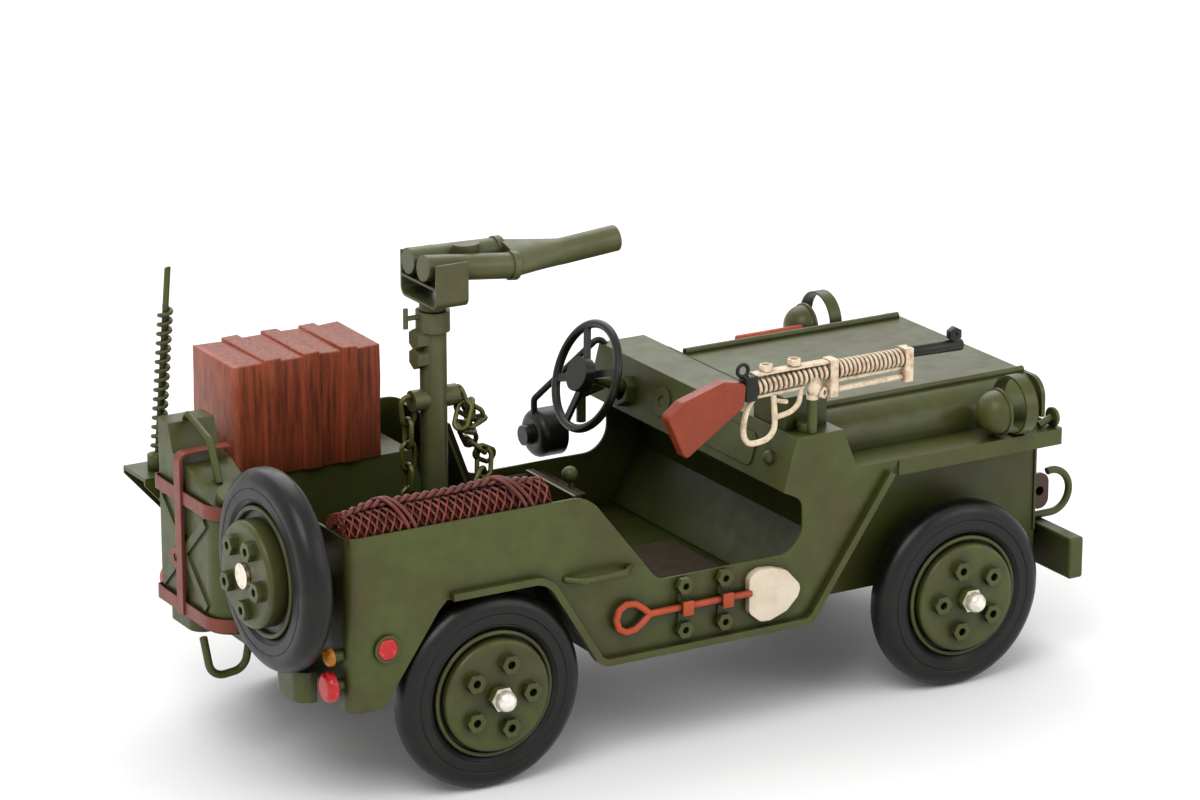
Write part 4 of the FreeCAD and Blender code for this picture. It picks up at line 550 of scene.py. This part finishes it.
# The straps take less painted shade far inside
strapPaint = enamelPaint("strapPaint", "#7d3b2c", "#703424", "#3d1b12", "#9c4f3c", roomShare=0.4)
ropePaint = enamelPaint("ropePaint", "#70342a", "#58271d", "#230d08", "#98513e", gloss=0.1)
stockPaint = enamelPaint("stockPaint", "#8c381e", "#7a3420", "#52200f", "#bd5a32",
                         wornShare=0.6, gloss=0.02)
handlePaint = enamelPaint("handlePaint", "#b04723", "#a04024", "#5a2210", "#d0764f")
bladePaint = enamelPaint("bladePaint", "#dccfba", "#cfbfa4", "#95785a", "#ece3d5",
                         wornShare=0.5, cornerShadeShare=0.6)
blackEnamel = enamelPaint("blackEnamel", "#17180f", "#1e1c15", "#080806", "#3a3b33",
                          wornShare=0.5, gloss=0.04)
cushionPaint = enamelPaint("cushionPaint", "#2b2012", "#261c10", "#100b05", "#57463a", gloss=-0.28, ior=1.15)
winchPaint = enamelPaint("winchPaint", "#523a30", "#43281e", "#1b0d07", "#7d564a")
rubber = mouldedRubber()
redLens = castLens("redLens", "#b0141c", "#d8605a")
amberLens = castLens("amberLens", "#a06008", "#e09a2c")
nickel = tarnishedNickel()
axleEnds = pearlEnds()
creamRust = creamOverRust()
netWire = sprayedNetWire()
cratePaint = brushedBoards()

# The nodes that aren't plain olive
finishes = {
    "winch_drum": winchPaint, "can_straps": strapPaint, "crate": cratePaint, "shovel_handle": handlePaint,
    "haft": handlePaint, "seat_pads": cushionPaint, "steering_wheel": blackEnamel, "spotlight": blackEnamel,
    "rifle_barrel": blackEnamel, "gun_barrels": oliveGun, "gun_cradle": oliveGun, "gun_post": oliveGun,
    "chains": oliveChain, "shovel_blade": bladePaint, "rifle_receiver": creamRust, "rifle_stock": stockPaint,
    "spare_hub": nickel, "axles": axleEnds, "net_roll": netWire, "red_lenses": redLens,
    "orange_lenses": amberLens,
}
for name in nodes:
    if "tyre" in name:
        finishes[name] = rubber
    elif "rim" in name:
        finishes[name] = oliveRim
for name, node in nodes.items():
    node.data.materials.clear()
    node.data.materials.append(finishes.get(name, oliveEnamel))
print("finishes on the frame's nodes")


# The camera stands behind the car's right side; the focal length is in pixels of the width
view = {
    "focal": 4524.42, "width": 1200, "sensor": 36.0, "azimuth": -30.59, "elevation": 17.37, "roll": -0.04,
    "place": (-708.94, -1177.27, 523.59), "near": 0.05, "far": 30,
}


def placeCamera():
    bpy.ops.object.camera_add(location=spot(*view["place"]))
    camera = bpy.context.object
    camera.rotation_euler = (
        math.radians(90 - view["elevation"]), math.radians(view["roll"]), math.radians(view["azimuth"])
    )
    camera.data.sensor_width = view["sensor"]
    camera.data.lens = view["focal"] / view["width"] * view["sensor"]
    camera.data.clip_start = view["near"]
    camera.data.clip_end = view["far"]
    bpy.context.scene.camera = camera


# Each lamp has its place, its size and its power, and all look at one aim
studio = {
    "floorSize": 8.0, "floor": "#f7f7f7", "floorRoughness": 0.9, "world": 0.75, "aim": (0, 0, 0.06),
    "lamps": {
        "key": ((-0.7, -0.6, 1.2), 0.8, 9.0),
        "fill": ((0.9, -1.1, 0.7), 0.8, 4.0),
        "back": ((0.3, 0.9, 1.1), 1.2, 9.0),
    },
}


def layFloor():
    clearAll()
    bpy.ops.mesh.primitive_plane_add(size=studio["floorSize"])
    floor = bpy.context.object
    floor.name = "floor"
    material = newMaterial("paleFloor", {
        "Base Color": hexColour(studio["floor"]), "Roughness": studio["floorRoughness"],
    })[0]
    floor.data.materials.append(material)


# The world is white to the camera and in reflections, and a soft light on the car
def makeWorld():
    world = bpy.data.worlds.new("studioWorld")
    bpy.context.scene.world = world
    world.use_nodes = True
    tree = world.node_tree
    tree.nodes.clear()
    path = addNode(tree, "ShaderNodeLightPath", {})
    seen = addNode(tree, "ShaderNodeMath", {
        "operation": "MAXIMUM", 0: path.outputs["Is Camera Ray"], 1: path.outputs["Is Glossy Ray"],
    })
    strength = addNode(tree, "ShaderNodeMapRange", {
        "Value": seen.outputs[0], "To Min": studio["world"], "To Max": 1.0,
    })
    background = addNode(tree, "ShaderNodeBackground", {
        "Color": (1, 1, 1, 1), "Strength": strength.outputs["Result"],
    })
    addNode(tree, "ShaderNodeOutputWorld", {"Surface": background.outputs["Background"]})


def hangLamps():
    aim = Vector(studio["aim"])
    for name, (place, size, power) in studio["lamps"].items():
        bpy.ops.object.light_add(type="AREA", location=place)
        lamp = bpy.context.object
        lamp.name = name
        lamp.data.size = size
        lamp.data.energy = power
        lamp.rotation_euler = (aim - Vector(place)).to_track_quat("-Z", "Y").to_euler()


placeCamera()
layFloor()
makeWorld()
hangLamps()
bpy.context.scene.view_settings.view_transform = "Standard"
print("camera, floor and light")


# Tyres: one is modelled about the Y axis and copied to the five wheels
tyreShape = {
    "radius": 31.0, "width": 10.0, "bore": 20.05, "shoulder": 4.4, "shoulderCuts": 10, "segments": 120,
    "grooves": (25.2, 21.9), "groove": 0.28, "depth": 0.22, "bead": 1.3,
}
lipShape = {"ring": 19.35, "wire": 0.85, "out": 4.25, "segments": 96, "sides": 12}
wheelPlaces = {
    "rear_right": (-86, -56.8, 31), "rear_left": (-86, 56.8, 31),
    "front_right": (86, -56.8, 31), "front_left": (86, 56.8, 31),
}
sparePlace = (-147.2, -38.1, 74.6)


# The tyre's section is cut with grooves, narrowed at its bead, rounded at its shoulders and spun
def modelTyre():
    shape = tyreShape
    half = shape["width"] / 2
    tall = shape["radius"] - shape["bore"]
    clearAll()
    centre = (0, 0, (shape["bore"] + tall / 2) * mm)
    bpy.ops.mesh.primitive_plane_add(size=1, location=centre, rotation=(0, math.pi / 2, 0))
    bpy.ops.transform.resize(value=(1, shape["width"] * mm, tall * mm), center_override=centre)
    applyPlace()
    editMode()
    bpy.ops.mesh.select_all(action="SELECT")
    bpy.ops.mesh.delete(type="ONLY_FACE")
    for groove in shape["grooves"]:
        for step in (-shape["groove"], 0, shape["groove"]):
            bpy.ops.mesh.select_all(action="SELECT")
            bpy.ops.mesh.bisect(plane_co=(0, 0, (groove + step) * mm), plane_no=(0, 0, 1))
        pick("vertices", lambda v: abs(v.co.z - groove * mm) < hair)
        bpy.ops.transform.resize(value=(1, 1 - shape["depth"] / half, 1), center_override=(0, 0, 0))
    pick("vertices", lambda v: v.co.z < shape["bore"] * mm + hair)
    bpy.ops.transform.resize(value=(1, 1 - shape["bead"] / half, 1), center_override=(0, 0, 0))
    pick("vertices", lambda v: v.co.z > shape["radius"] * mm - hair)
    bpy.ops.mesh.bevel(
        offset=shape["shoulder"] * mm, segments=shape["shoulderCuts"], profile=0.5, affect="VERTICES"
    )
    bpy.ops.mesh.select_all(action="SELECT")
    bpy.ops.mesh.spin(steps=shape["segments"], angle=2 * math.pi, center=(0, 0, 0), axis=(0, 1, 0))
    bpy.ops.mesh.select_all(action="SELECT")
    bpy.ops.mesh.remove_doubles(threshold=hair)
    bpy.ops.mesh.normals_make_consistent(inside=False)
    objectMode()
    return bpy.context.object


def makeTyres():
    tyre = modelTyre()
    for name, place in wheelPlaces.items():
        take(copyOf(tyre, Matrix.Translation(spot(*place))))
        keepPiece("rubber_tyre_" + name, rubber, "wheel_" + name, ("tyre_" + name,), angle=25)
    upright = Matrix.Translation(spot(*sparePlace)) @ Matrix.Rotation(math.pi / 2, 4, "Z")
    take(copyOf(tyre, upright))
    keepPiece("rubber_tyre_spare", rubber, "car", ("spare_tyre",), angle=25)
    discard(tyre)


# The rolled lip of each rim, a ring of round section beside the tyre's bead
def makeLips():
    shape = lipShape
    clearAll()
    bpy.ops.mesh.primitive_torus_add(
        major_segments=shape["segments"], minor_segments=shape["sides"],
        major_radius=shape["ring"] * mm, minor_radius=shape["wire"] * mm, rotation=(math.pi / 2, 0, 0),
    )
    applyPlace()
    lip = bpy.context.object
    for name, (x, y, z) in wheelPlaces.items():
        take(copyOf(lip, Matrix.Translation(spot(x, y + math.copysign(shape["out"], y), z))))
        keepPiece("rim_lip_" + name, oliveRim, "wheel_" + name)
    x, y, z = sparePlace
    upright = Matrix.Translation(spot(x - shape["out"], y, z)) @ Matrix.Rotation(math.pi / 2, 4, "Z")
    take(copyOf(lip, upright))
    keepPiece("rim_lip_spare", oliveRim)
    discard(lip)


makeTyres()
makeLips()
print("tyres")


# Crate: a board box with three raised bands, its edges worn round and its sides a little wavy
crateShape = {
    "rear": -126.6, "front": -75.2, "inner": 30.2, "outer": 58.8, "bottom": 79.0, "top": 116.0,
    "bands": ((-116.0, -110.4), (-102.3, -96.7), (-89.0, -83.4)), "stand": 0.85, "round": 0.6,
    "rows": (88.0, 97.0, 106.0), "wave": 0.4, "waveFrom": 80.0, "seed": 5,
}


def makeCrate():
    shape = crateShape
    clearAll()
    low = spot(shape["rear"], shape["inner"], shape["bottom"])
    high = spot(shape["front"], shape["outer"], shape["top"])
    bpy.ops.mesh.primitive_cube_add(size=1, location=(low + high) / 2, scale=high - low)
    applyPlace()
    editMode()
    for z in shape["rows"]:
        bpy.ops.mesh.select_all(action="SELECT")
        bpy.ops.mesh.bisect(plane_co=spot(0, 0, z), plane_no=(0, 0, 1))
    for band in shape["bands"]:
        for x in band:
            bpy.ops.mesh.select_all(action="SELECT")
            bpy.ops.mesh.bisect(plane_co=spot(x, 0, 0), plane_no=(1, 0, 0))

    # The top and the long sides within a band, which leaves out the ends and the bottom
    def onBand(face):
        x = face.center.x / mm - middle
        alongSide = abs(face.normal.x) < square and face.normal.z > -square
        return alongSide and any(a < x < b for a, b in shape["bands"])

    pick("polygons", onBand)
    bpy.ops.mesh.extrude_region_shrink_fatten(
        TRANSFORM_OT_shrink_fatten={"value": shape["stand"] * mm, "use_even_offset": True}
    )
    pick("vertices", lambda v: v.co.z > shape["waveFrom"] * mm)
    bpy.ops.transform.vertex_random(offset=shape["wave"] * mm, seed=shape["seed"])
    bpy.ops.mesh.select_all(action="SELECT")
    bpy.ops.mesh.normals_make_consistent(inside=False)
    objectMode()
    roundEdges(shape["round"], segments=3, angle=40)
    keepPiece("banded_crate", cratePaint, "car", ("crate",), angle=40)


makeCrate()
print("crate")


# Antenna: a rod with a slanting cut top, in a coil of wire on a turned foot
antennaShape = {
    "foot": (-143.3, 51.5, 80.0), "top": (-137.6, 51.5, 145.7), "rod": 1.0, "cut": 1.2, "slope": 0.75,
    "coilStart": 1.0, "pitch": 3.0, "turns": 17, "coil": 1.85, "wire": 0.74,
    "footRadius": 3.0, "footHeight": 5.0, "footRound": 0.3, "footSteps": ((0.7, 0.2), (0.9, -0.3)),
}


def makeAntenna():
    shape = antennaShape
    foot = spot(*shape["foot"])
    top = spot(*shape["top"])
    way = (top - foot).normalized()
    length = (top - foot).length
    clearAll()
    bpy.ops.mesh.primitive_cylinder_add(vertices=24, radius=shape["rod"] * mm, depth=length)
    rod = bpy.context.object
    editMode()
    bpy.ops.mesh.select_all(action="SELECT")
    bpy.ops.mesh.bisect(
        plane_co=(0, 0, length / 2 - shape["cut"] * mm), plane_no=(shape["slope"], 0, 1),
        use_fill=True, clear_outer=True,
    )
    objectMode()
    rod.data.transform(standing(foot + way * length / 2, way))
    clearAll()
    bpy.ops.mesh.primitive_cylinder_add(
        vertices=32, radius=shape["footRadius"] * mm, depth=shape["footHeight"] * mm,
        location=(0, 0, shape["footHeight"] / 2 * mm),
    )
    applyPlace()
    base = bpy.context.object
    insetFaces(lambda f: f.normal.z > square, *shape["footSteps"])
    roundEdges(shape["footRound"], segments=2, angle=35)
    base.data.transform(Matrix.Translation(foot))
    coil = woundCoil(shape["coil"] * mm, shape["wire"] * mm, shape["pitch"] * mm, shape["turns"])
    coil.data.transform(standing(foot + way * shape["coilStart"] * mm, way))
    joinAll([rod, base, coil])
    keepPiece("coiled_antenna", oliveEnamel, "car", ("antenna",), angle=40)


makeAntenna()
print("antenna")


# Chains: oval links of round wire, one chain straight down, the other bunched and then trailing
linkShape = {"length": 10.6, "width": 6.0, "wire": 0.8, "segments": 28, "sides": 10}
# The left chain's first link hangs half a pitch under the start, and every other link is turned across
leftChain = {
    "start": (-81.6, 0, 107.0), "first": 3.7, "pitch": 7.4, "links": 8, "turn": 40, "lean": (0.06, 0.05),
}
# Each loose link: its middle, the way it points and its turn about that way
rightChain = [
    ((-62.6, -1.0, 104.2), (0.3, -0.2, -1.0), 60), ((-61.0, -2.0, 100.6), (0.8, -0.6, -0.5), 10),
    ((-64.6, -4.4, 100.2), (-0.45, -0.3, -0.9), 80), ((-60.2, -3.2, 97.0), (0.9, 0.3, 0.2), 85),
    ((-59.5, 0.6, 99.5), (0.4, 0.8, 0.5), 30), ((-62.5, -2.5, 95.5), (0.7, 0.4, -0.3), 130),
    ((-60.8, -0.5, 92.5), (0.5, 0.2, -0.9), 20), ((-58.0, 0.0, 88.4), (0.75, 0.1, -0.65), 105),
    ((-54.6, 0.2, 84.9), (0.8, 0.3, -0.45), 15), ((-55.6, -1.4, 82.4), (-0.25, -0.35, -0.95), 75),
    ((-58.6, -3.0, 77.3), (-0.55, -0.2, -0.8), 165), ((-62.6, -4.4, 72.8), (-0.7, -0.2, -0.7), 75),
]


# A ring whose two halves are moved apart
def modelLink():
    shape = linkShape
    clearAll()
    reach = shape["width"] / 2 - shape["wire"]
    bpy.ops.mesh.primitive_torus_add(
        major_segments=shape["segments"], minor_segments=shape["sides"],
        major_radius=reach * mm, minor_radius=shape["wire"] * mm, rotation=(0, math.pi / 2, 0),
    )
    applyPlace()
    stretch = (shape["length"] - shape["width"]) / 2 * mm
    editMode()
    for side in (1, -1):
        pick("vertices", lambda v: v.co.z * side > hair)
        bpy.ops.transform.translate(value=(0, 0, stretch * side))
    objectMode()
    return bpy.context.object


def makeChains():
    link = modelLink()
    links = []
    chain = leftChain
    for index in range(chain["links"]):
        drop = chain["first"] + chain["pitch"] * index
        place = spot(*chain["start"]) - Vector((0, 0, drop * mm))
        x, y = ((-1) ** index * lean for lean in chain["lean"])
        links.append(copyOf(link, standing(place, Vector((x, y, -1)), chain["turn"] + 90 * (index % 2))))
    for place, way, turn in rightChain:
        links.append(copyOf(link, standing(spot(*place), Vector(way), turn)))
    joinAll(links)
    keepPiece("link_chains", oliveChain, "car", ("chains",), angle=60)
    discard(link)


makeChains()
print("chains")


# Rolled net: three layers of expanded metal on a core, each turned a little further round
netShape = {
    "rear": -133.4, "front": -64.2, "y": -51.7, "z": 86.2, "layers": (7.0, 5.9, 4.9), "layerTurn": 20,
    "around": 9, "along": 24, "wire": 1.02, "core": 3.8, "coreShort": 3.0,
    "coreSteps": ((0.9, 0.0), (0.6, -1.5)),
}


def rollMiddle():
    return spot((netShape["rear"] + netShape["front"]) / 2, netShape["y"], netShape["z"])


def netLayer(radius, turn):
    shape = netShape
    clearAll()
    length = (shape["front"] - shape["rear"]) * mm
    bpy.ops.mesh.primitive_cylinder_add(
        vertices=shape["around"], radius=radius * mm, depth=length, end_fill_type="NOTHING"
    )
    editMode()
    pick("edges", lambda e: abs(edgeEnds(e)[0].z - edgeEnds(e)[1].z) > length / 2)
    bpy.ops.mesh.subdivide(number_cuts=shape["along"] - 1)
    bpy.ops.mesh.select_all(action="SELECT")
    bpy.ops.mesh.poke()
    # The poked points lie on the flats and are moved out to the round
    flat = math.cos(math.pi / shape["around"])
    pick("vertices", lambda v: math.hypot(v.co.x, v.co.y) < radius * flat * mm + hair)
    bpy.ops.transform.resize(value=(1 / flat, 1 / flat, 1), center_override=(0, 0, 0))

    # The cuts that run straight along or straight round go, which leaves the diamonds
    def straight(edge):
        a, b = edgeEnds(edge)
        along = abs(a.z - b.z)
        around = math.hypot(a.x - b.x, a.y - b.y)
        atEnd = abs(abs(a.z) - length / 2) < hair and abs(abs(b.z) - length / 2) < hair
        return around < hair or (along < hair and not atEnd)

    pick("edges", straight)
    bpy.ops.mesh.dissolve_edges(use_verts=False)
    objectMode()
    modify("WIREFRAME", thickness=shape["wire"] * mm, use_even_offset=False, use_replace=True)
    layer = bpy.context.object
    layer.data.transform(standing(rollMiddle(), Vector((1, 0, 0)), turn))
    return layer


def makeNet():
    shape = netShape
    layers = [netLayer(radius, shape["layerTurn"] * index) for index, radius in enumerate(shape["layers"])]
    clearAll()
    length = shape["front"] - shape["rear"] - shape["coreShort"]
    bpy.ops.mesh.primitive_cylinder_add(vertices=20, radius=shape["core"] * mm, depth=length * mm)
    core = bpy.context.object
    insetFaces(lambda f: abs(f.normal.z) > square, *shape["coreSteps"])
    core.data.transform(standing(rollMiddle(), Vector((1, 0, 0))))
    joinAll(layers + [core])
    keepPiece("expanded_net", netWire, "car", ("net_roll",), angle=30)


# Two strands laid round each other along the rope's route over the roll
ropeShape = {
    "route": [(-133.2, -54.6, 89.6), (-131.8, -52.4, 93.0), (-123.7, -51.7, 94.6), (-111.5, -51.4, 94.4),
              (-94.7, -51.7, 94.4), (-83.3, -51.2, 94.9), (-74.5, -51.7, 93.9), (-66.5, -51.9, 92.9)],
    "strand": 0.72, "fullness": 1.05, "lay": 6.2, "stepsPerLay": 8, "strands": 2,
}


def makeRope():
    shape = ropeShape
    points = [spot(*place) for place in shape["route"]]
    strand = shape["strand"] * mm
    lay = shape["lay"] * mm
    pieces = []
    for index in range(shape["strands"]):
        twisted = []
        travel = 0.0
        for before, after in zip(points, points[1:]):
            way = after - before
            side = way.cross(Vector((0, 0, 1))).normalized()
            up = side.cross(way).normalized()
            count = max(2, round(way.length / lay * shape["stepsPerLay"]))
            for step in range(count):
                share = step / count
                turn = 2 * math.pi * ((travel + way.length * share) / lay + index / shape["strands"])
                place = before + way * share
                twisted.append(place + (side * math.cos(turn) + up * math.sin(turn)) * strand)
            travel += way.length
        pieces.append(bentRod(twisted, strand * shape["fullness"], rings=2, steps=2))
    joinAll(pieces)
    keepPiece("laid_rope", ropePaint, angle=60)


# Lashings: wires wound slantwise round the roll, each arched over the rope at its top
lashingShape = {
    "places": (-118.5, -80.0), "leans": (11.0, 14.0), "leanStep": 1.5, "turns": 2, "step": 1.6, "wire": 0.74,
    "points": 14, "from": -58, "sweep": 270, "out": 7.3, "arch": 2.6, "archPower": 6,
}


def makeLashings():
    shape = lashingShape
    loops = []
    for middleX, lean in zip(shape["places"], shape["leans"]):
        for index in range(shape["turns"]):
            points = []
            for step in range(shape["points"]):
                turn = math.radians(shape["from"] + shape["sweep"] * step / (shape["points"] - 1))
                out = shape["out"] + shape["arch"] * max(0.0, math.sin(turn)) ** shape["archPower"]
                slant = (lean + shape["leanStep"] * index) * math.cos(turn) / 2
                points.append(spot(
                    middleX + shape["step"] * index + slant,
                    netShape["y"] - out * math.cos(turn), netShape["z"] + out * math.sin(turn),
                ))
            loops.append(bentRod(points, shape["wire"] * mm, rings=2, steps=3))
    joinAll(loops)
    keepPiece("net_lashings", ropePaint, angle=60)


makeNet()
makeRope()
makeLashings()
print("net, rope and lashings")


# Rifle ornament: wire coils on a bar, bands, a flat top strip with two nuts, and bent guards.
# A place has its x and z, a coil its ends, radius, wire and turns, a bar its ends, radius and offset
receiverShape = {
    "y": -58.0, "core": ((4.2, 112.2), (66, 113.7), 1.4, 0.0),
    "coils": (((8.2, 112.4), (34.2, 113.6), 2.1, 0.64, 14), ((38.2, 113.6), (62.4, 113.6), 2.3, 0.6, 15)),
    "bandPlaces": ((36.2, 12.2), (64.3, 11.0)), "bandZ": 111.2, "bandLength": 3.2, "bandWidth": 5.0,
    "bandStep": (0.35, -0.12), "bandRound": 0.5,
    "strip": (21.2, 116.4), "stripSize": (27.5, 3.6, 0.7), "stripStep": (0.5, 0.25), "stripRound": 0.2,
    "nuts": ((12.3, 117.9), (22.6, 118.2)), "nut": (4.0, 2.0, 1.3), "nutTurn": 0.2,
    "bars": (((7.4, 109.0), (26.2, 109.5), 0.7, 0.0), ((37, 109.9), (66.5, 110.4), 0.9, 0.0),
             ((37, 107.0), (66.5, 107.4), 0.9, -0.6)),
    "guard": [(8.9, 109.0), (6.7, 107.9), (4.9, 103.4), (4.2, 99.4), (4.6, 96.2), (6.2, 94.2), (9.1, 93.9),
              (13.4, 94.6), (15.6, 97.1), (15.9, 100.0), (15.6, 104.0), (15.2, 108.9)],
    "loop": [(25.3, 109.6), (25.1, 106.6), (24.6, 104.4), (22.4, 102.4), (19.6, 101.6), (15.8, 101.2)],
    "trigger": [(15.4, 106.9), (17.0, 106.4), (20.2, 105.6)],
    "wires": {"guard": 0.95, "loop": 0.85, "trigger": 0.7},
}


def onRifle(x, z, off=0.0):
    return spot(x, receiverShape["y"] + off, z)


def rifleBar(start, end, radius, off):
    return rodBetween(onRifle(*start, off), onRifle(*end, off), radius)


def rifleCoil(start, end, radius, wire, turns):
    start, end = onRifle(*start), onRifle(*end)
    way = end - start
    coil = woundCoil(radius * mm, wire * mm, way.length / turns, turns, steps=20)
    coil.data.transform(standing(start, way))
    return coil


def rifleBand(x, height):
    shape = receiverShape
    strap = addBox((shape["bandLength"], shape["bandWidth"], height))
    insetFaces(lambda f: abs(f.normal.x) > square, shape["bandStep"])
    roundEdges(shape["bandRound"], segments=3, angle=60)
    strap.data.transform(Matrix.Translation(onRifle(x, shape["bandZ"])))
    return strap


def topStrip():
    shape = receiverShape
    strip = addBox(shape["stripSize"])
    insetFaces(lambda f: f.normal.z > square, shape["stripStep"])
    roundEdges(shape["stripRound"], segments=2, angle=30)
    strip.data.transform(Matrix.Translation(onRifle(*shape["strip"])))
    return strip


def stripNut(x, z):
    nut = hexNut(*receiverShape["nut"])
    turned = Matrix.Rotation(receiverShape["nutTurn"] * x, 4, "Z")
    nut.data.transform(Matrix.Translation(onRifle(x, z)) @ turned)
    return nut


def bentWire(kind, steps):
    places = [onRifle(*place) for place in receiverShape[kind]]
    return bentRod(places, receiverShape["wires"][kind] * mm, steps=steps)


def makeReceiver():
    shape = receiverShape
    pieces = [rifleBar(*shape["core"])]
    pieces += [rifleCoil(*coil) for coil in shape["coils"]]
    pieces += [rifleBand(*band) for band in shape["bandPlaces"]]
    pieces.append(topStrip())
    pieces += [stripNut(*place) for place in shape["nuts"]]
    pieces += [rifleBar(*bar) for bar in shape["bars"]]
    pieces += [bentWire("guard", 5), bentWire("loop", 5), bentWire("trigger", 6)]
    joinAll(pieces)
    keepPiece("coiled_receiver", creamRust, "car", ("rifle_receiver",), angle=40)


# The lump of metal that holds the rifle on its leg, with a collar below and a nut at its side
clampShape = {
    "lumpAt": (29.6, 109.6), "lumpOff": -0.9, "lump": 2.5, "lumpShares": (0.95, 0.85, 1.5), "dent": 0.14,
    "seed": 3, "collar": ((29.6, 106.8), (29.6, 105.0), 2.0, 0.0),
    "nutAt": (32.0, 107.2), "nutOff": -1.6, "nutWay": (0.5, -1, 0.1), "nut": (3.4, 2.2, 0.9),
}


def makeClamp():
    shape = clampShape
    clearAll()
    bpy.ops.mesh.primitive_uv_sphere_add(segments=20, ring_count=12, radius=shape["lump"] * mm)
    lump = bpy.context.object
    lump.data.transform(Matrix.Diagonal((*shape["lumpShares"], 1)))
    editMode()
    bpy.ops.mesh.select_all(action="SELECT")
    bpy.ops.transform.vertex_random(offset=shape["dent"] * mm, seed=shape["seed"])
    objectMode()
    modify("SUBSURF", levels=1, render_levels=1)
    lump.data.transform(Matrix.Translation(onRifle(*shape["lumpAt"], shape["lumpOff"])))
    collar = rifleBar(*shape["collar"])
    nut = hexNut(*shape["nut"])
    nut.data.transform(standing(onRifle(*shape["nutAt"], shape["nutOff"]), Vector(shape["nutWay"])))
    joinAll([lump, collar, nut])
    keepPiece("leg_clamp", creamRust, angle=50)


# The black block between the stock and the coils, with a wire ring for a sight
breechShape = {
    "block": (6.0, 112.4), "size": (4.4, 4.6, 8.0), "step": (0.7, 0.2), "round": 0.45,
    "ringAt": (3.9, 118.2), "ring": 2.1, "ringWire": 0.62, "ringPoints": 8,
}


def makeBreech():
    shape = breechShape
    block = addBox(shape["size"])
    insetFaces(lambda f: abs(f.normal.y) > square, shape["step"])
    roundEdges(shape["round"], segments=3, angle=40)
    block.data.transform(Matrix.Translation(onRifle(*shape["block"])))
    x, z = shape["ringAt"]
    turns = [2 * math.pi * point / shape["ringPoints"] for point in range(shape["ringPoints"])]
    places = [onRifle(x + shape["ring"] * math.cos(t), z + shape["ring"] * math.sin(t)) for t in turns]
    ring = bentRod(places, shape["ringWire"] * mm, closed=True, order=4)
    joinAll([block, ring])
    keepPiece("breech_block", blackEnamel, angle=40)


# The barrel, with a nut that stands on it for the front sight
barrelShape = {
    "rod": ((64.6, 114.9), (85.4, 114.3), 1.9, 0.0), "sight": (82.6, 118.1), "nut": (4.3, 2.5, 0.7),
}


def makeBarrel():
    rod = rifleBar(*barrelShape["rod"])
    nut = hexNut(*barrelShape["nut"])
    nut.data.transform(standing(onRifle(*barrelShape["sight"]), Vector((0, 1, 0))))
    joinAll([rod, nut])
    keepPiece("rifle_rod", blackEnamel, "car", ("rifle_barrel",))


makeReceiver()
makeClamp()
makeBreech()
makeBarrel()
print("rifle ornament")


# The red-brown paint that ran over the shovel's two straps
clipShape = {
    "places": (-19.0, -4.5), "y": -64.35, "z": 46.9, "size": (3.8, 0.6, 4.7), "step": (0.7, 0.15),
    "round": 0.2,
}


def makeStrapPaint():
    shape = clipShape
    marks = []
    for x in shape["places"]:
        mark = addBox(shape["size"])
        insetFaces(lambda f: f.normal.y < -square, shape["step"])
        roundEdges(shape["round"], segments=2, angle=20)
        mark.data.transform(Matrix.Translation(spot(x, shape["y"], shape["z"])))
        marks.append(mark)
    joinAll(marks)
    keepPiece("strap_paint", handlePaint)


# A black rod along the seam between the cowl and the hood: painted shade at the foot of the step
seamShape = {"x": 39.7, "z": 93.98, "half": 44.0, "radius": 0.24}


def makeSeam():
    x, z, half = (seamShape[key] for key in ("x", "z", "half"))
    rodBetween(spot(x, -half, z), spot(x, half, z), seamShape["radius"], sides=10)
    keepPiece("seam_shade_line", blackEnamel)


# The haft that lies on the left fender
haftShape = {"rear": (70.0, 50.0, 90.5), "front": (96.0, 50.0, 90.5), "radius": 1.3}


def makeHaft():
    rodBetween(spot(*haftShape["rear"]), spot(*haftShape["front"]), haftShape["radius"])
    keepPiece("red_haft", handlePaint, "car", ("haft",))


makeStrapPaint()
makeSeam()
makeHaft()
print("small things")
